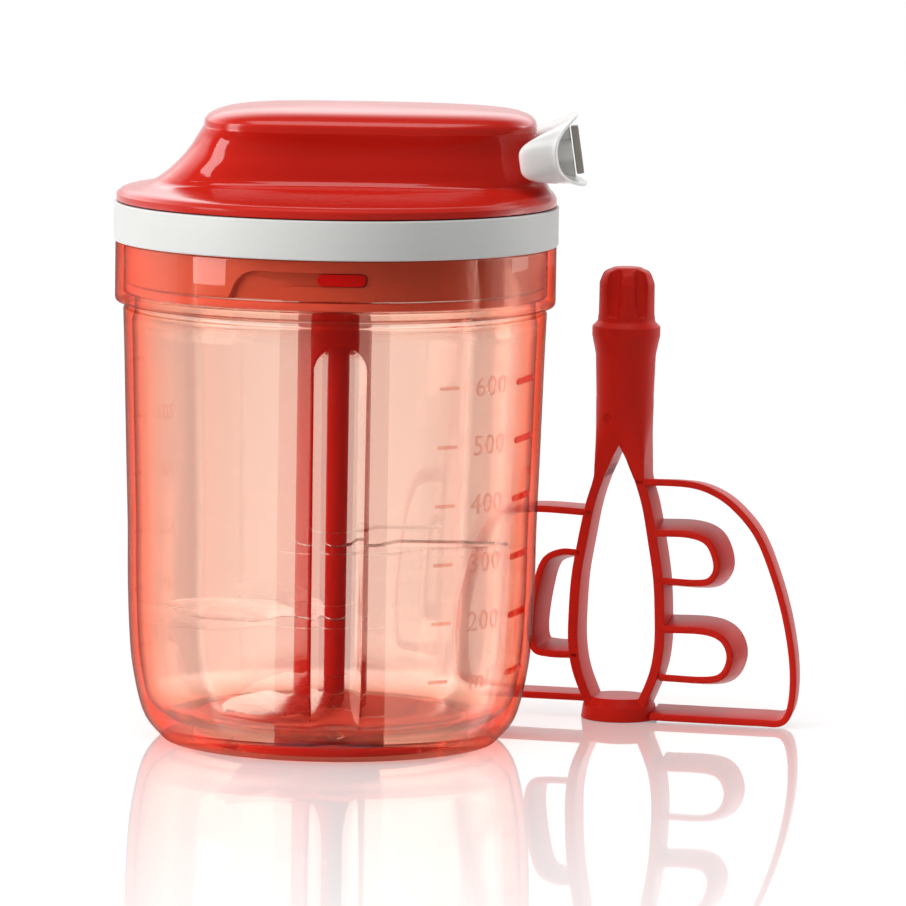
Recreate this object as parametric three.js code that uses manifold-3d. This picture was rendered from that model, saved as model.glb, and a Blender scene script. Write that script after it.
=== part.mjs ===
// A hand-pulled food chopper: a clear bowl with a stacked blade column, a cover that holds the reel and
// the recoil spring, a pull grip on a cord, and a loose whisk insert that stands beside the bowl.
// Millimetres, +Z up. The origin is on the table under the middle of the bowl, +X points to the grip,
// and the front of the bowl faces -Y.
import * as THREE from "three";
import { mergeVertices } from "three/addons/utils/BufferGeometryUtils.js";
import Module from "manifold-3d";

const wasm = await Module();
wasm.setup();

// Driving dimensions
const CLEARANCE = 0.3; // gap between two neighbouring pieces
const OVERRUN = 2; // how far a cut runs past the face that it opens
const CORD_DIAMETER = 1.8;

const BOWL = {
  shoulderHeight: 107, // top of the round body, where the collar steps out
  bodyRadius: 51.7, // outside, just under the collar
  collarHeight: 14.5,
  collarStep: 2.05, // how far the collar stands out from the body
  wall: 2.1,
  floorHeight: 5.3, // inside face of the floor
  cornerRadius: 5,
  rimBevel: 0.6,
  ledgeThickness: 2.2,
  fluteWidth: 12.5,
  fluteDrop: 6, // from the shoulder down to the flutes' round tops
  fluteDepth: 1.7,
  fluteBulge: 0.7, // how far the flute shows on the inside
  padRadius: 33.5,
  padThickness: 1.7,
  bossRadius: 6,
  bossHeight: 0.8,
};
const LUG = { width: 11.5, height: 2.8, depth: 1.5, drop: 4.5 }; // the drop is from the rim to its middle
const PIN = { radius: 1.5, length: 18.4, depth: 1.7 };

const COLUMN = {
  radius: 9,
  headroom: 2.7, // from its top to the cover's plate
  hubRadius: 8.2, // of the blades' round roots
  tubeOuter: 3.3,
  tubeTop: 62,
  footBevel: 1.8,
  socketRadius: 5.3,
  socketDepth: 15,
  ribReach: 1.8,
  ribWidth: 2.2,
};
// A flat tab runs from a blade's round root into its pitched wing
const BLADE = { thickness: 0.8, rootThickness: 1.2, width: 16, pitch: 11, edge: 0.2, tab: 4, tabWidth: 8 };
// Level, gap between the tip and the bowl, and azimuth in degrees of each blade
const BLADES = {
  blade_upper: { level: 48, tipGap: 4.9, azimuth: 0 },
  blade_middle: { level: 30, tipGap: 4.2, azimuth: 168 },
  blade_lower: { level: 10.8, tipGap: 3, azimuth: 238 },
};

const BAND = { overhang: 0.45, wall: 2.6, height: 9.45, edge: 0.4, flangeReach: 15.2, flange: 2 };
const SKIRT = { gap: 0.55, wall: 3.5, plate: 2, turn: 22 };
const SEAL = { height: 2, width: 2.3 };
const COVER = {
  rimInset: 0.6, // from the band's outside to the rim's
  wall: 2,
  capLeftInset: 21.2, // from the rim to the cap's left end
  capRightInset: 5.2,
  capSide: 25,
  crown: 3.9, // from the axle's top to the cap's
  lipWall: 1.7,
  lipDepth: 4,
  lipRise: 1.6, // how far the lip runs up into the shell
  bossRadius: 4.8,
  boreDepth: 2.4,
};

const SHAFT = {
  radius: 5,
  core: 3.1,
  finRadius: 4.9,
  finWidth: 1.8,
  reach: 13.2, // from the shaft's lower end to the axle's
  cupRadius: 12.2,
  cupWall: 1.5,
};
const CUP = { floor: 1.5, depth: 4.2, toothDepth: 1, teeth: 12 };
const CLIP = { radius: 8, thickness: 1, groove: 0.8 };
const WASHER = { radius: 10, thickness: 0.6 };
const PAWL = { ring: 1.5, armWidth: 1, height: 3, armAngle: 70 };
const SCREW = { margin: 1.1, headRadius: 3, head: 1.3, shank: 1.3, count: 3, slot: 0.7, slotReach: 2.1 };
const LEG = { radius: 3.4 };
const PLATE = { thickness: 1.5, hole: 5.8, gap: 0.5 };
const SPRING = { inner: 6.2, cupRadius: 22, cupWall: 1.4, height: 4, strip: 0.6, turns: 5, lid: 0.8 };
const REEL = { lift: 2.6, hub: 5, drum: 12, flange: 17, flangeThickness: 1.2, winding: 8, turnRadius: 15.5 };
const AXLE = { radius: 2 };

const EYELET = { outer: 3, flange: 4.5, flangeThickness: 1.2, length: 4 };
const GRIP = {
  tilt: 8.5, // the pull runs this many degrees above level
  gap: 1.8, // from the cover's end to the back of the grip
  depth: 8.5, // from the back of the grip to its mouth
  halfWidth: 22.6,
  backHeight: 4.2, // half height of the back
  mouthHeight: 8.8, // half height of the mouth
  back: 2, // thickness behind the cavity
  bend: 29.8, // radius of the back seen from above, less the way from the cover's end
  web: 2.8,
  bossRadius: 3.2,
  strip: 1.8,
  stripWidth: 5.2,
  stripHeight: 11.6,
  ferruleRadius: 2,
  ferruleLength: 2.6,
};

const WHISK = {
  gap: 18.25, // from the bowl's collar to the whisk's axis, along X
  y: 37,
  turn: -14, // degrees, the right wing comes towards the front
  height: 113.4,
  headBottom: 98.6,
  headRadius: 7.1,
  skirtRadius: 8.5,
  skirtEdge: 1.4,
  barrelBottom: 70,
  barrelRadius: 7,
  legSpread: 11,
  legTop: 74,
  legThickness: 2.6,
  loopThickness: 1.7,
  depth: 11,
  flare: 1.8, // how far an inner loop's back edge stands off from its front edge
  loopFlare: 1.2, // the same for the right outer loop
  rightReach: 45.2,
  rightHeight: 60.3,
  leftReach: 39,
  leftHeight: 52.5,
  hubRadius: 9.6,
  hubHeight: 5.6,
  hubBore: 3.5,
  grooveRadius: 1.2,
  grooveDepth: 0.8,
  grooves: 6,
};

// Counts of facets
const ROUND = { large: 36, small: 16, arc: 4, path: 16, oval: 24, bowl: 30, coil: 12 };

// Points across half of a flute, and up the bowl's inner corner
const FLUTE_SHARES = [-1, -0.6, 0, 0.6, 1];
const CORNER_SHARES = [0, 0.15, 0.5, 1];

// Outside radius of the bowl's body, as shares of the shoulder's height and of the body's radius
const BOWL_SHARES = [
  [0, 0.793],
  [0.0355, 0.861],
  [0.0701, 0.896],
  [0.139, 0.93],
  [0.208, 0.95],
  [0.346, 0.964],
  [0.486, 0.968],
  [0.626, 0.977],
  [0.766, 0.9855],
  [0.885, 0.9925],
  [0.92, 0.9945],
  [0.944, 0.996],
  [0.985, 1],
];

// Outside of the cover from its rim up to the cap's lower edge. The first share is of the rise from rim
// to top. The next three run from the cap's outline (0) to the rim's (1) on the left, on the right and
// at the sides. The last one squares the outline, from round (0) to the cap's own shape (1).
const FLANK_SHARES = [
  [0, 1, 1, 1, 0],
  [0.067, 1, 1, 1, 0],
  [0.1125, 0.94, 0.885, 0.937, 0],
  [0.141, 0.783, 0.75, 0.63, 0.3],
  [0.19, 0.575, 0.6, 0.262, 0.6],
  [0.2965, 0.406, 0.404, 0, 1],
  [0.415, 0.269, 0.25, -0.05, 1],
  [0.538, 0.156, 0.135, -0.065, 1],
  [0.648, 0.08, 0.06, -0.05, 1],
  [0.722, 0.028, 0, -0.015, 1],
  [0.7464, 0.01, 0, 0, 1],
];
// The cap above that edge: share of the rise, then of the cap's reach to the left, right and side
const CROWN_SHARES = [
  [0.828, 0.99, 0.996, 0.992],
  [0.894, 0.91, 0.957, 0.912],
  [0.943, 0.756, 0.857, 0.76],
  [0.975, 0.48, 0.6, 0.48],
  [1, 0, 0, 0],
];
const CAP_SQUARENESS_SHARE = 0.6; // added to a round outline's power of two, as a share of it
const FINE_ROWS = [1, 2, 6, 9, 10, 11, 13]; // rows of the outside that the inside does without

// The grip's outside from its back to its mouth: share of its depth, of its half width, and of the way
// from the back's half height to the mouth's, where below zero is a share of the back's height. The last
// is the power of its outline, where one is an ellipse and less is squarer.
const GRIP_OUTSIDE_SHARES = [
  [0, 0, -1, 0.8],
  [0, 0.75, -0.3, 0.55],
  [0.06, 0.91, 0.04, 0.45],
  [0.2, 0.975, 0.3, 0.44],
  [0.41, 1, 0.5, 0.5],
  [0.69, 0.995, 0.72, 0.64],
  [0.9, 0.985, 0.9, 0.76],
  [1, 0.99, 1, 0.8],
];
// The same for its cavity from the mouth to the bottom, where the first share is of the way up from there
const GRIP_CAVITY_SHARES = [
  [1, 0.945, 0.84, 0.8],
  [0.6, 0.92, 0.5, 0.64],
  [0.225, 0.89, 0.25, 0.5],
  [0.05, 0.82, 0, 0.5],
  [0, 0.6, -0.4, 0.6],
  [0, 0, -1, 0.8],
];

// A blade's outline: share of the way from root to tip, then of its width ahead of and behind its axis
const BLADE_SHARES = [
  [0, 0.36, -0.36],
  [0.1, 0.4, -0.4],
  [0.3, 0.46, -0.5],
  [0.55, 0.44, -0.5],
  [0.78, 0.3, -0.42],
  [0.93, 0.1, -0.28],
  [1, -0.06, -0.14],
];

// The whisk's bars, as shares of a wing's reach and height, and its legs, of their spread and height
const RIGHT_LOOP_SHARES = [
  [0.1, 1],
  [0.38, 1],
  [0.52, 0.975],
  [0.65, 0.915],
  [0.785, 0.8],
  [0.885, 0.63],
  [0.96, 0.44],
  [1, 0.245],
  [0.99, 0.09],
  [0.94, 0.026],
  [0.8, 0.02],
  [0.2, 0.02],
];
const RIGHT_UPPER_SHARES = [
  [0.2, 0.788],
  [0.4, 0.788],
  [0.505, 0.76],
  [0.553, 0.688],
  [0.549, 0.63],
  [0.487, 0.594],
  [0.23, 0.594],
];
const RIGHT_LOWER_SHARES = [
  [0.25, 0.388],
  [0.498, 0.388],
  [0.602, 0.358],
  [0.642, 0.29],
  [0.608, 0.216],
  [0.52, 0.19],
  [0.25, 0.19],
];
const LEFT_LOOP_SHARES = [
  [0.15, 0.99],
  [0.564, 0.996],
  [0.73, 0.965],
  [0.846, 0.866],
  [0.936, 0.686],
  [1, 0.457],
  [0.985, 0.19],
  [0.9, 0.103],
  [0.8, 0.101],
  [0.2, 0.101],
];
const LEFT_INNER_SHARES = [
  [0.25, 0.796],
  [0.372, 0.796],
  [0.477, 0.752],
  [0.533, 0.629],
  [0.569, 0.419],
  [0.538, 0.324],
  [0.449, 0.303],
  [0.26, 0.303],
];
const LEG_SHARES = [
  [0.28, 1],
  [0.47, 0.82],
  [0.66, 0.73],
  [0.82, 0.61],
  [0.95, 0.485],
  [1, 0.37],
  [1, 0.255],
  [0.89, 0.16],
  [0.6, 0.05],
];

// The whisk's head: radius as a share of its own, and the way down from the top as a share of that radius
const KNOB_SHARES = [
  [1, 0.6],
  [0.85, 0.25],
  [0.5, 0],
];
// Its barrel's lower end: shares of the barrel's radius, outwards and up from its lower edge
const BARREL_SHARES = [
  [0, -0.33],
  [0.6, -0.25],
  [1, 0.25],
];
// Its hub: shares of the hub's radius and height
const HUB_SHARES = [
  [1, 0],
  [0.95, 0.6],
  [0.8, 1],
];

// Materials
const RED = { color: 0xc4261d, roughness: 0.35, metalness: 0 };
const CLEAR_RED = { color: 0xf2b3ac, roughness: 0.08, metalness: 0, transparent: true, opacity: 0.4 };
const WHITE = { color: 0xeceae6, roughness: 0.3, metalness: 0 };
const GREY = { color: 0x9b958c, roughness: 0.6, metalness: 0 };
const SILICONE = { color: 0xe06a5e, roughness: 0.8, metalness: 0 };
const STEEL = { color: 0xc9ccd0, roughness: 0.25, metalness: 1 };
const CORD = { color: 0xe8e6e0, roughness: 0.9, metalness: 0 };

// Solid modelling helpers: each takes and gives a geometry

// The geometry as a manifold solid, with shared vertices merged and collapsed faces dropped.
function manifoldOf(geometry) {
  const bare = new THREE.BufferGeometry();
  bare.setAttribute("position", geometry.getAttribute("position"));
  bare.setIndex(geometry.getIndex());
  const merged = mergeVertices(bare, 1e-4);
  const corners = merged.index.array;
  const triVerts = [];
  for (let i = 0; i < corners.length; i += 3) {
    const [a, b, c] = corners.slice(i, i + 3);
    if (a !== b && b !== c && a !== c) triVerts.push(a, b, c);
  }
  return new wasm.Manifold(
    new wasm.Mesh({
      numProp: 3,
      vertProperties: new Float32Array(merged.attributes.position.array),
      triVerts: new Uint32Array(triVerts),
    }),
  );
}

function geometryOf(manifold) {
  const mesh = manifold.getMesh();
  const geometry = new THREE.BufferGeometry();
  geometry.setAttribute("position", new THREE.BufferAttribute(mesh.vertProperties, mesh.numProp));
  geometry.setIndex(new THREE.BufferAttribute(mesh.triVerts, 1));
  return geometry;
}

const join = (...pieces) => geometryOf(pieces.map(manifoldOf).reduce((whole, next) => whole.add(next)));
const cut = (...pieces) => geometryOf(pieces.map(manifoldOf).reduce((whole, next) => whole.subtract(next)));
const common = (...pieces) => geometryOf(pieces.map(manifoldOf).reduce((whole, next) => whole.intersect(next)));

const radians = (degrees) => THREE.MathUtils.degToRad(degrees);
const mix = (from, to, share) => from + (to - from) * share;
const FRONT = radians(-90);
// Three directions a third of a turn apart.
const thirds = (start) => [0, 1, 2].map((i) => start + radians(120) * i);

// A solid turned about Z. The outline runs counter-clockwise in [radius, height], and it starts and ends
// on the axis or closes on its first point.
function turned(outline, columns = ROUND.large) {
  const points = outline.map(([radius, height]) => new THREE.Vector2(radius, height));
  if (outline[0][0] !== 0) points.push(points[0].clone());
  return new THREE.LatheGeometry(points, columns).rotateX(radians(90));
}

const rod = (radius, bottom, top, columns = ROUND.small) =>
  turned([[0, bottom], [radius, bottom], [radius, top], [0, top]], columns);

const ring = (inner, outer, bottom, top, columns = ROUND.small) =>
  turned([[inner, bottom], [outer, bottom], [outer, top], [inner, top]], columns);

// A rod along X from one x to another.
const rodAlongX = (radius, from, to) => rod(radius, from, to).rotateY(radians(90));

// A block between two corners.
function block(low, high) {
  const size = high.map((value, i) => value - low[i]);
  const middle = high.map((value, i) => (value + low[i]) / 2);
  return new THREE.BoxGeometry(...size).translate(...middle);
}

// Part of a ring between two angles.
function sector(inner, outer, bottom, top, start, end) {
  const shape = new THREE.Shape();
  shape.absarc(0, 0, outer, start, end, false);
  shape.absarc(0, 0, inner, end, start, true);
  const depth = top - bottom;
  const options = { depth, bevelEnabled: false, curveSegments: ROUND.arc };
  return new THREE.ExtrudeGeometry(shape, options).translate(0, 0, bottom);
}

// A closed skin over rings of points, each ring with as many points as the next. Its faces point out.
function skinned(rings) {
  const count = rings[0].length;
  const corners = [];
  for (let i = 0; i + 1 < rings.length; i++) {
    for (let j = 0; j < count; j++) {
      const next = (j + 1) % count;
      const [a, b] = [i * count + j, i * count + next];
      const [c, d] = [a + count, b + count];
      corners.push(a, b, d, a, d, c);
    }
  }
  const points = rings.flat();
  let volume = 0;
  for (let i = 0; i < corners.length; i += 3) {
    const [a, b, c] = corners.slice(i, i + 3).map((corner) => points[corner]);
    volume += a.dot(b.clone().cross(c));
  }
  const geometry = new THREE.BufferGeometry().setFromPoints(points);
  return geometry.setIndex(volume < 0 ? corners.reverse() : corners);
}

// Rings with a point added at the middle of the first and of the last, so that the skin closes there.
function capped(rings) {
  const middle = (points) => {
    const sum = points.reduce((total, point) => total.add(point), new THREE.Vector3());
    return points.map(() => sum.clone().divideScalar(points.length));
  };
  return [middle(rings[0]), ...rings, middle(rings[rings.length - 1])];
}

const root = new THREE.Group();

function add(name, geometry, look, parent = root) {
  const mesh = new THREE.Mesh(geometry, new THREE.MeshStandardMaterial(look));
  mesh.name = name;
  parent.add(mesh);
  return mesh;
}

// Places that several pieces share
const rimHeight = BOWL.shoulderHeight + BOWL.collarHeight;
const collarRadius = BOWL.bodyRadius + BOWL.collarStep;
const collarInner = collarRadius - BOWL.wall;
const lugLevel = rimHeight - LUG.drop;
const ledgeTop = BOWL.shoulderHeight + BOWL.ledgeThickness;
const padTop = BOWL.padThickness + CLEARANCE;
const skirtRadius = collarInner - SKIRT.gap;
const skirtInner = skirtRadius - SKIRT.wall;
const sealBottom = ledgeTop + CLEARANCE;
const skirtBottom = sealBottom + SEAL.height + CLEARANCE;
const plateTop = rimHeight;
const plateBottom = plateTop - SKIRT.plate;
const columnBottom = BOWL.floorHeight + BOWL.bossHeight + CLEARANCE;
const columnTop = plateBottom - COLUMN.headroom;
const bandRadius = collarRadius + BAND.overhang;
const bandBottom = rimHeight + CLEARANCE;
const bandTop = bandBottom + BAND.height;
const screwCircle = skirtInner - SCREW.headRadius - SCREW.margin;
const lugAngle = LUG.width / 2 / collarInner;
const washerBottom = plateTop + CLEARANCE;
const cupBottom = washerBottom + WASHER.thickness + CLEARANCE;
const cupFloor = cupBottom + CUP.floor;
const cupTop = cupFloor + CUP.depth;
const legBottom = bandBottom + BAND.flange + CLEARANCE;
const mechanismPlate = cupTop + PLATE.gap;
const springBottom = mechanismPlate + PLATE.thickness + CLEARANCE;
const springTop = springBottom + SPRING.height;
const lidTop = springTop + CLEARANCE + SPRING.lid;
const reelBottom = lidTop + REEL.lift;
const drumBottom = reelBottom + REEL.flangeThickness;
const drumTop = drumBottom + REEL.winding + 2 * CLEARANCE;
const cordLevel = (drumBottom + drumTop) / 2;
const hubBottom = cupFloor + CLEARANCE;
const hubTop = drumTop + REEL.flangeThickness;
const bossBottom = hubTop + CLEARANCE;
const axleTop = bossBottom + COVER.boreDepth;
const shaftBottom = columnTop - COLUMN.socketDepth + OVERRUN;
const boreRadius = AXLE.radius + CLEARANCE;
const coverRimBottom = bandTop + CLEARANCE;
const coverTop = axleTop + COVER.crown;
const rimRadius = bandRadius - COVER.rimInset;
const capLeft = rimRadius - COVER.capLeftInset;
const capRight = rimRadius - COVER.capRightInset;

// Bowl

// Radius of the outside of the body at a height, with the flute left out.
function bodyRadiusAt(height) {
  const share = height / BOWL.shoulderHeight;
  const above = BOWL_SHARES.findIndex(([level]) => level >= share);
  if (above < 0) return BOWL.bodyRadius;
  if (above === 0) return BOWL_SHARES[0][1] * BOWL.bodyRadius;
  const [low, high] = [BOWL_SHARES[above - 1], BOWL_SHARES[above]];
  return BOWL.bodyRadius * mix(low[1], high[1], (share - low[0]) / (high[0] - low[0]));
}

// How deep the front and back flutes are at a place, as a share of their depth.
function fluteShare(angle, height) {
  const half = BOWL.fluteWidth / 2;
  const sideways = Math.abs(Math.cos(angle)) * BOWL.bodyRadius;
  const upward = Math.max(0, height - (BOWL.shoulderHeight - BOWL.fluteDrop - half));
  return Math.max(0, 1 - (sideways ** 2 + upward ** 2) / half ** 2);
}

// Directions of the bowl's columns of points: even, and closer together across the two flutes.
function bowlAngles() {
  const half = BOWL.fluteWidth / 2 / BOWL.bodyRadius;
  const across = FLUTE_SHARES.map((share) => share * half);
  const flutes = [FRONT, -FRONT].flatMap((middle) => across.map((offset) => middle + offset));
  const even = Array.from({ length: ROUND.bowl }, (_, i) => mix(-Math.PI, Math.PI, i / ROUND.bowl));
  const clear = even.filter((angle) => flutes.every((other) => Math.abs(angle - other) > half / 2));
  return [...flutes, ...clear].sort((a, b) => a - b);
}

function makeBowl() {
  const angles = bowlAngles();
  const ringAt = (height, radiusOf) =>
    angles.map((angle) => {
      const radius = radiusOf(angle);
      return new THREE.Vector3(radius * Math.cos(angle), radius * Math.sin(angle), height);
    });
  const plain = (radius, height) => ringAt(height, () => radius);
  const outside = BOWL_SHARES.map(([share]) => share * BOWL.shoulderHeight).map((height) =>
    ringAt(height, (angle) => bodyRadiusAt(height) - BOWL.fluteDepth * fluteShare(angle, height)),
  );
  const innerRadius = (height) => {
    const rise = Math.max(0, BOWL.cornerRadius - (height - BOWL.floorHeight));
    const corner = BOWL.cornerRadius - Math.sqrt(BOWL.cornerRadius ** 2 - rise ** 2);
    return bodyRadiusAt(height) - BOWL.wall - corner;
  };
  const cornerHeights = CORNER_SHARES.map((share) => BOWL.floorHeight + share * BOWL.cornerRadius);
  // Every other row of the outside is enough within the wall.
  const wallHeights = BOWL_SHARES.filter((_, i) => i % 2 === 1)
    .map(([share]) => share * BOWL.shoulderHeight)
    .filter((height) => height > BOWL.floorHeight + BOWL.cornerRadius);
  const inside = [...cornerHeights, ...wallHeights].map((height) =>
    ringAt(height, (angle) => innerRadius(height) - BOWL.fluteBulge * fluteShare(angle, height)),
  );
  const recess = BOWL.padRadius + CLEARANCE;
  const shell = skinned([
    plain(0, padTop),
    plain(recess, padTop),
    plain(recess, 0),
    ...outside,
    plain(collarRadius - BOWL.rimBevel, BOWL.shoulderHeight),
    plain(collarRadius, BOWL.shoulderHeight + BOWL.rimBevel),
    plain(collarRadius, rimHeight - BOWL.rimBevel),
    plain(collarRadius - BOWL.rimBevel, rimHeight),
    plain(collarInner, rimHeight),
    plain(collarInner, ledgeTop),
    plain(BOWL.bodyRadius - BOWL.wall, ledgeTop),
    ...inside.reverse(),
    plain(0, BOWL.floorHeight),
  ]);
  const boss = rod(BOWL.bossRadius, BOWL.floorHeight - BOWL.wall, BOWL.floorHeight + BOWL.bossHeight);
  const lugs = thirds(FRONT).map((angle) => {
    const [low, high] = [lugLevel - LUG.height / 2, lugLevel + LUG.height / 2];
    const outer = collarInner + BOWL.wall / 2;
    return sector(collarInner - LUG.depth, outer, low, high, angle - lugAngle, angle + lugAngle);
  });
  const pinBottom = BOWL.floorHeight - PIN.depth;
  const pinHole = rod(PIN.radius + CLEARANCE, pinBottom - CLEARANCE, BOWL.floorHeight + OVERRUN);
  add("bowl", cut(join(shell, boss, ...lugs), pinHole), CLEAR_RED);
  add("base_pad", rod(BOWL.padRadius, 0, BOWL.padThickness, ROUND.large), SILICONE);
  add("pivot_pin", rod(PIN.radius, pinBottom, pinBottom + PIN.length), STEEL);
}

// Blade column

// The wing of a blade, pitched so that its thin leading edge is low, and the tab that carries it.
function makeWing(tip) {
  const start = COLUMN.radius + 2 * CLEARANCE;
  const rings = BLADE_SHARES.map(([share, ahead, behind]) => {
    const [front, back] = [ahead * BLADE.width, behind * BLADE.width];
    const [thin, thick] = [BLADE.edge / 2, BLADE.thickness / 2];
    const section = [[front, -thin], [front, thin], [back, thick], [back, -thick]];
    return section.map(([y, z]) => new THREE.Vector3(mix(start, tip, share), y, z));
  });
  const wing = skinned(capped(rings)).rotateX(-radians(BLADE.pitch));
  const [half, across] = [BLADE.thickness / 2, BLADE.tabWidth / 2];
  const tab = block([COLUMN.hubRadius - BLADE.tab / 2, -across, -half], [start + BLADE.tab, across, half]);
  return join(wing, tab);
}

function makeBladeColumn() {
  const half = BLADE.rootThickness / 2;
  const holeRadius = COLUMN.tubeOuter + CLEARANCE;
  for (const [name, { level, tipGap, azimuth }] of Object.entries(BLADES)) {
    const tip = bodyRadiusAt(level) - BOWL.wall - tipGap;
    const root = ring(holeRadius, COLUMN.hubRadius, -half, half);
    const blade = cut(join(root, makeWing(tip)), rod(holeRadius, -OVERRUN, OVERRUN));
    add(name, blade.rotateZ(radians(azimuth)).translate(0, 0, level), STEEL);
  }
  const joint = half + CLEARANCE;
  const { blade_upper: upper, blade_middle: middle, blade_lower: lower } = BLADES;
  const spacer = (below, above) =>
    ring(holeRadius, COLUMN.radius, below.level + joint, above.level - joint);
  add("column_spacer_upper", spacer(middle, upper), RED);
  add("column_spacer_lower", spacer(lower, middle), RED);

  const footTop = lower.level - joint;
  const tubeBottom = columnBottom + COLUMN.footBevel + CLEARANCE;
  const foot = turned(
    [
      [PIN.radius + CLEARANCE, columnBottom],
      [COLUMN.radius - COLUMN.footBevel, columnBottom],
      [COLUMN.radius, columnBottom + COLUMN.footBevel],
      [COLUMN.radius, footTop],
      [holeRadius, footTop],
      [holeRadius, tubeBottom - CLEARANCE],
      [PIN.radius + CLEARANCE, tubeBottom - CLEARANCE],
    ],
    ROUND.small,
  );
  add("column_foot", foot, RED);
  const tube = ring(PIN.radius + CLEARANCE, COLUMN.tubeOuter, tubeBottom, COLUMN.tubeTop);
  add("column_core", tube, STEEL);

  const bottom = upper.level + joint;
  const socketFloor = columnTop - COLUMN.socketDepth;
  const head = turned(
    [
      [0, COLUMN.tubeTop + CLEARANCE],
      [holeRadius, COLUMN.tubeTop + CLEARANCE],
      [holeRadius, bottom],
      [COLUMN.radius, bottom],
      [COLUMN.radius, columnTop - COLUMN.ribReach],
      [COLUMN.radius - COLUMN.ribReach / 2, columnTop],
      [COLUMN.socketRadius, columnTop],
      [COLUMN.socketRadius, socketFloor],
      [0, socketFloor],
    ],
    ROUND.small,
  );
  const ribs = thirds(radians(60)).map((angle) => {
    const inner = COLUMN.socketRadius - COLUMN.ribReach + CLEARANCE;
    const low = [inner, -COLUMN.ribWidth / 2, socketFloor - COLUMN.ribReach];
    const high = [COLUMN.radius - COLUMN.ribReach, COLUMN.ribWidth / 2, columnTop - COLUMN.ribReach];
    return block(low, high).rotateZ(angle);
  });
  add("column_head", join(head, ...ribs), RED);
}

// Cover

// Distance of an oval's outline from the axis in one direction. A power of two is an ellipse.
function ovalRadius(angle, left, right, side, power) {
  const along = Math.abs(Math.cos(angle)) / (Math.cos(angle) < 0 ? left : right);
  const across = Math.abs(Math.sin(angle)) / side;
  return (along ** power + across ** power) ** (-1 / power);
}

// The cover's outside as [radius, height] for one direction, from the rim to the top.
function coverProfile(angle) {
  const rise = coverTop - coverRimBottom;
  const flank = FLANK_SHARES.map(([share, left, right, side, square]) => {
    const reach = [
      mix(capLeft, rimRadius, left),
      mix(capRight, rimRadius, right),
      mix(COVER.capSide, rimRadius, side),
    ];
    const power = 2 * (1 + CAP_SQUARENESS_SHARE * square);
    return [ovalRadius(angle, ...reach, power), coverRimBottom + share * rise];
  });
  const power = 2 * (1 + CAP_SQUARENESS_SHARE);
  const crown = CROWN_SHARES.map(([share, left, right, side]) => {
    const reach = [left * capLeft, right * capRight, side * COVER.capSide];
    const radius = side > 0 ? ovalRadius(angle, ...reach, power) : 0;
    return [radius, coverRimBottom + share * rise];
  });
  return [...flank, ...crown];
}

// The profile moved inwards by the wall. The fine rows of the rim and of the cap's edge are skipped.
function innerProfile(profile) {
  const rows = profile.filter((_, i) => !FINE_ROWS.includes(i));
  return rows.map(([radius, height], i) => {
    const before = rows[Math.max(0, i - 1)];
    const after = rows[Math.min(rows.length - 1, i + 1)];
    const along = new THREE.Vector2(after[0] - before[0], after[1] - before[1]).normalize();
    if (i === 0) return [radius - COVER.wall, height];
    if (radius === 0) return [0, height - COVER.wall];
    return [radius - COVER.wall * along.y, height + COVER.wall * along.x];
  });
}

function makeCoverShell() {
  const angles = Array.from({ length: ROUND.large }, (_, i) => radians((360 * i) / ROUND.large));
  const outer = angles.map(coverProfile);
  const inner = outer.map(innerProfile);
  const ringOf = (profiles, row) =>
    profiles.map((profile, j) => {
      const [radius, height] = profile[row];
      return new THREE.Vector3(radius * Math.cos(angles[j]), radius * Math.sin(angles[j]), height);
    });
  const insideRings = inner[0].map((_, row) => ringOf(inner, row)).reverse();
  const outsideRings = outer[0].map((_, row) => ringOf(outer, row));
  const shell = skinned([...insideRings, ...outsideRings]);
  const lipOuter = bandRadius - BAND.wall - CLEARANCE;
  const lipTop = coverRimBottom + COVER.lipRise;
  const lip = ring(lipOuter - COVER.lipWall, lipOuter, bandTop - COVER.lipDepth, lipTop, ROUND.large);
  const boss = rod(COVER.bossRadius, bossBottom, coverTop - COVER.wall / 2);
  const bore = rod(boreRadius, bossBottom - OVERRUN, axleTop + CLEARANCE);
  const opening = rodAlongX(EYELET.outer + CLEARANCE, capLeft, rimRadius + OVERRUN);
  opening.translate(0, 0, cordLevel);
  add("cover_shell", cut(join(shell, lip, boss), bore, opening), RED);
}

function makeBand() {
  const { wall, edge, flangeReach, flange } = BAND;
  const [radius, bottom, top] = [bandRadius, bandBottom, bandTop];
  const inner = radius - wall;
  const outline = [
    [radius - flangeReach, bottom],
    [radius - edge, bottom],
    [radius, bottom + edge],
    [radius, top - edge],
    [radius - edge, top],
    [inner, top],
    [inner, bottom + flange],
    [radius - flangeReach, bottom + flange],
  ];
  const holes = aroundScrews(() => rod(SCREW.shank + CLEARANCE, bottom - OVERRUN, bottom + flange + OVERRUN));
  add("cover_band", cut(turned(outline), ...holes), WHITE);
}

// One copy of a geometry at each screw, moved out to the screws' circle.
function aroundScrews(make) {
  return Array.from({ length: SCREW.count }, (_, i) =>
    make()
      .translate(screwCircle, 0, 0)
      .rotateZ(radians(30 + (360 / SCREW.count) * i)),
  );
}

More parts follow.
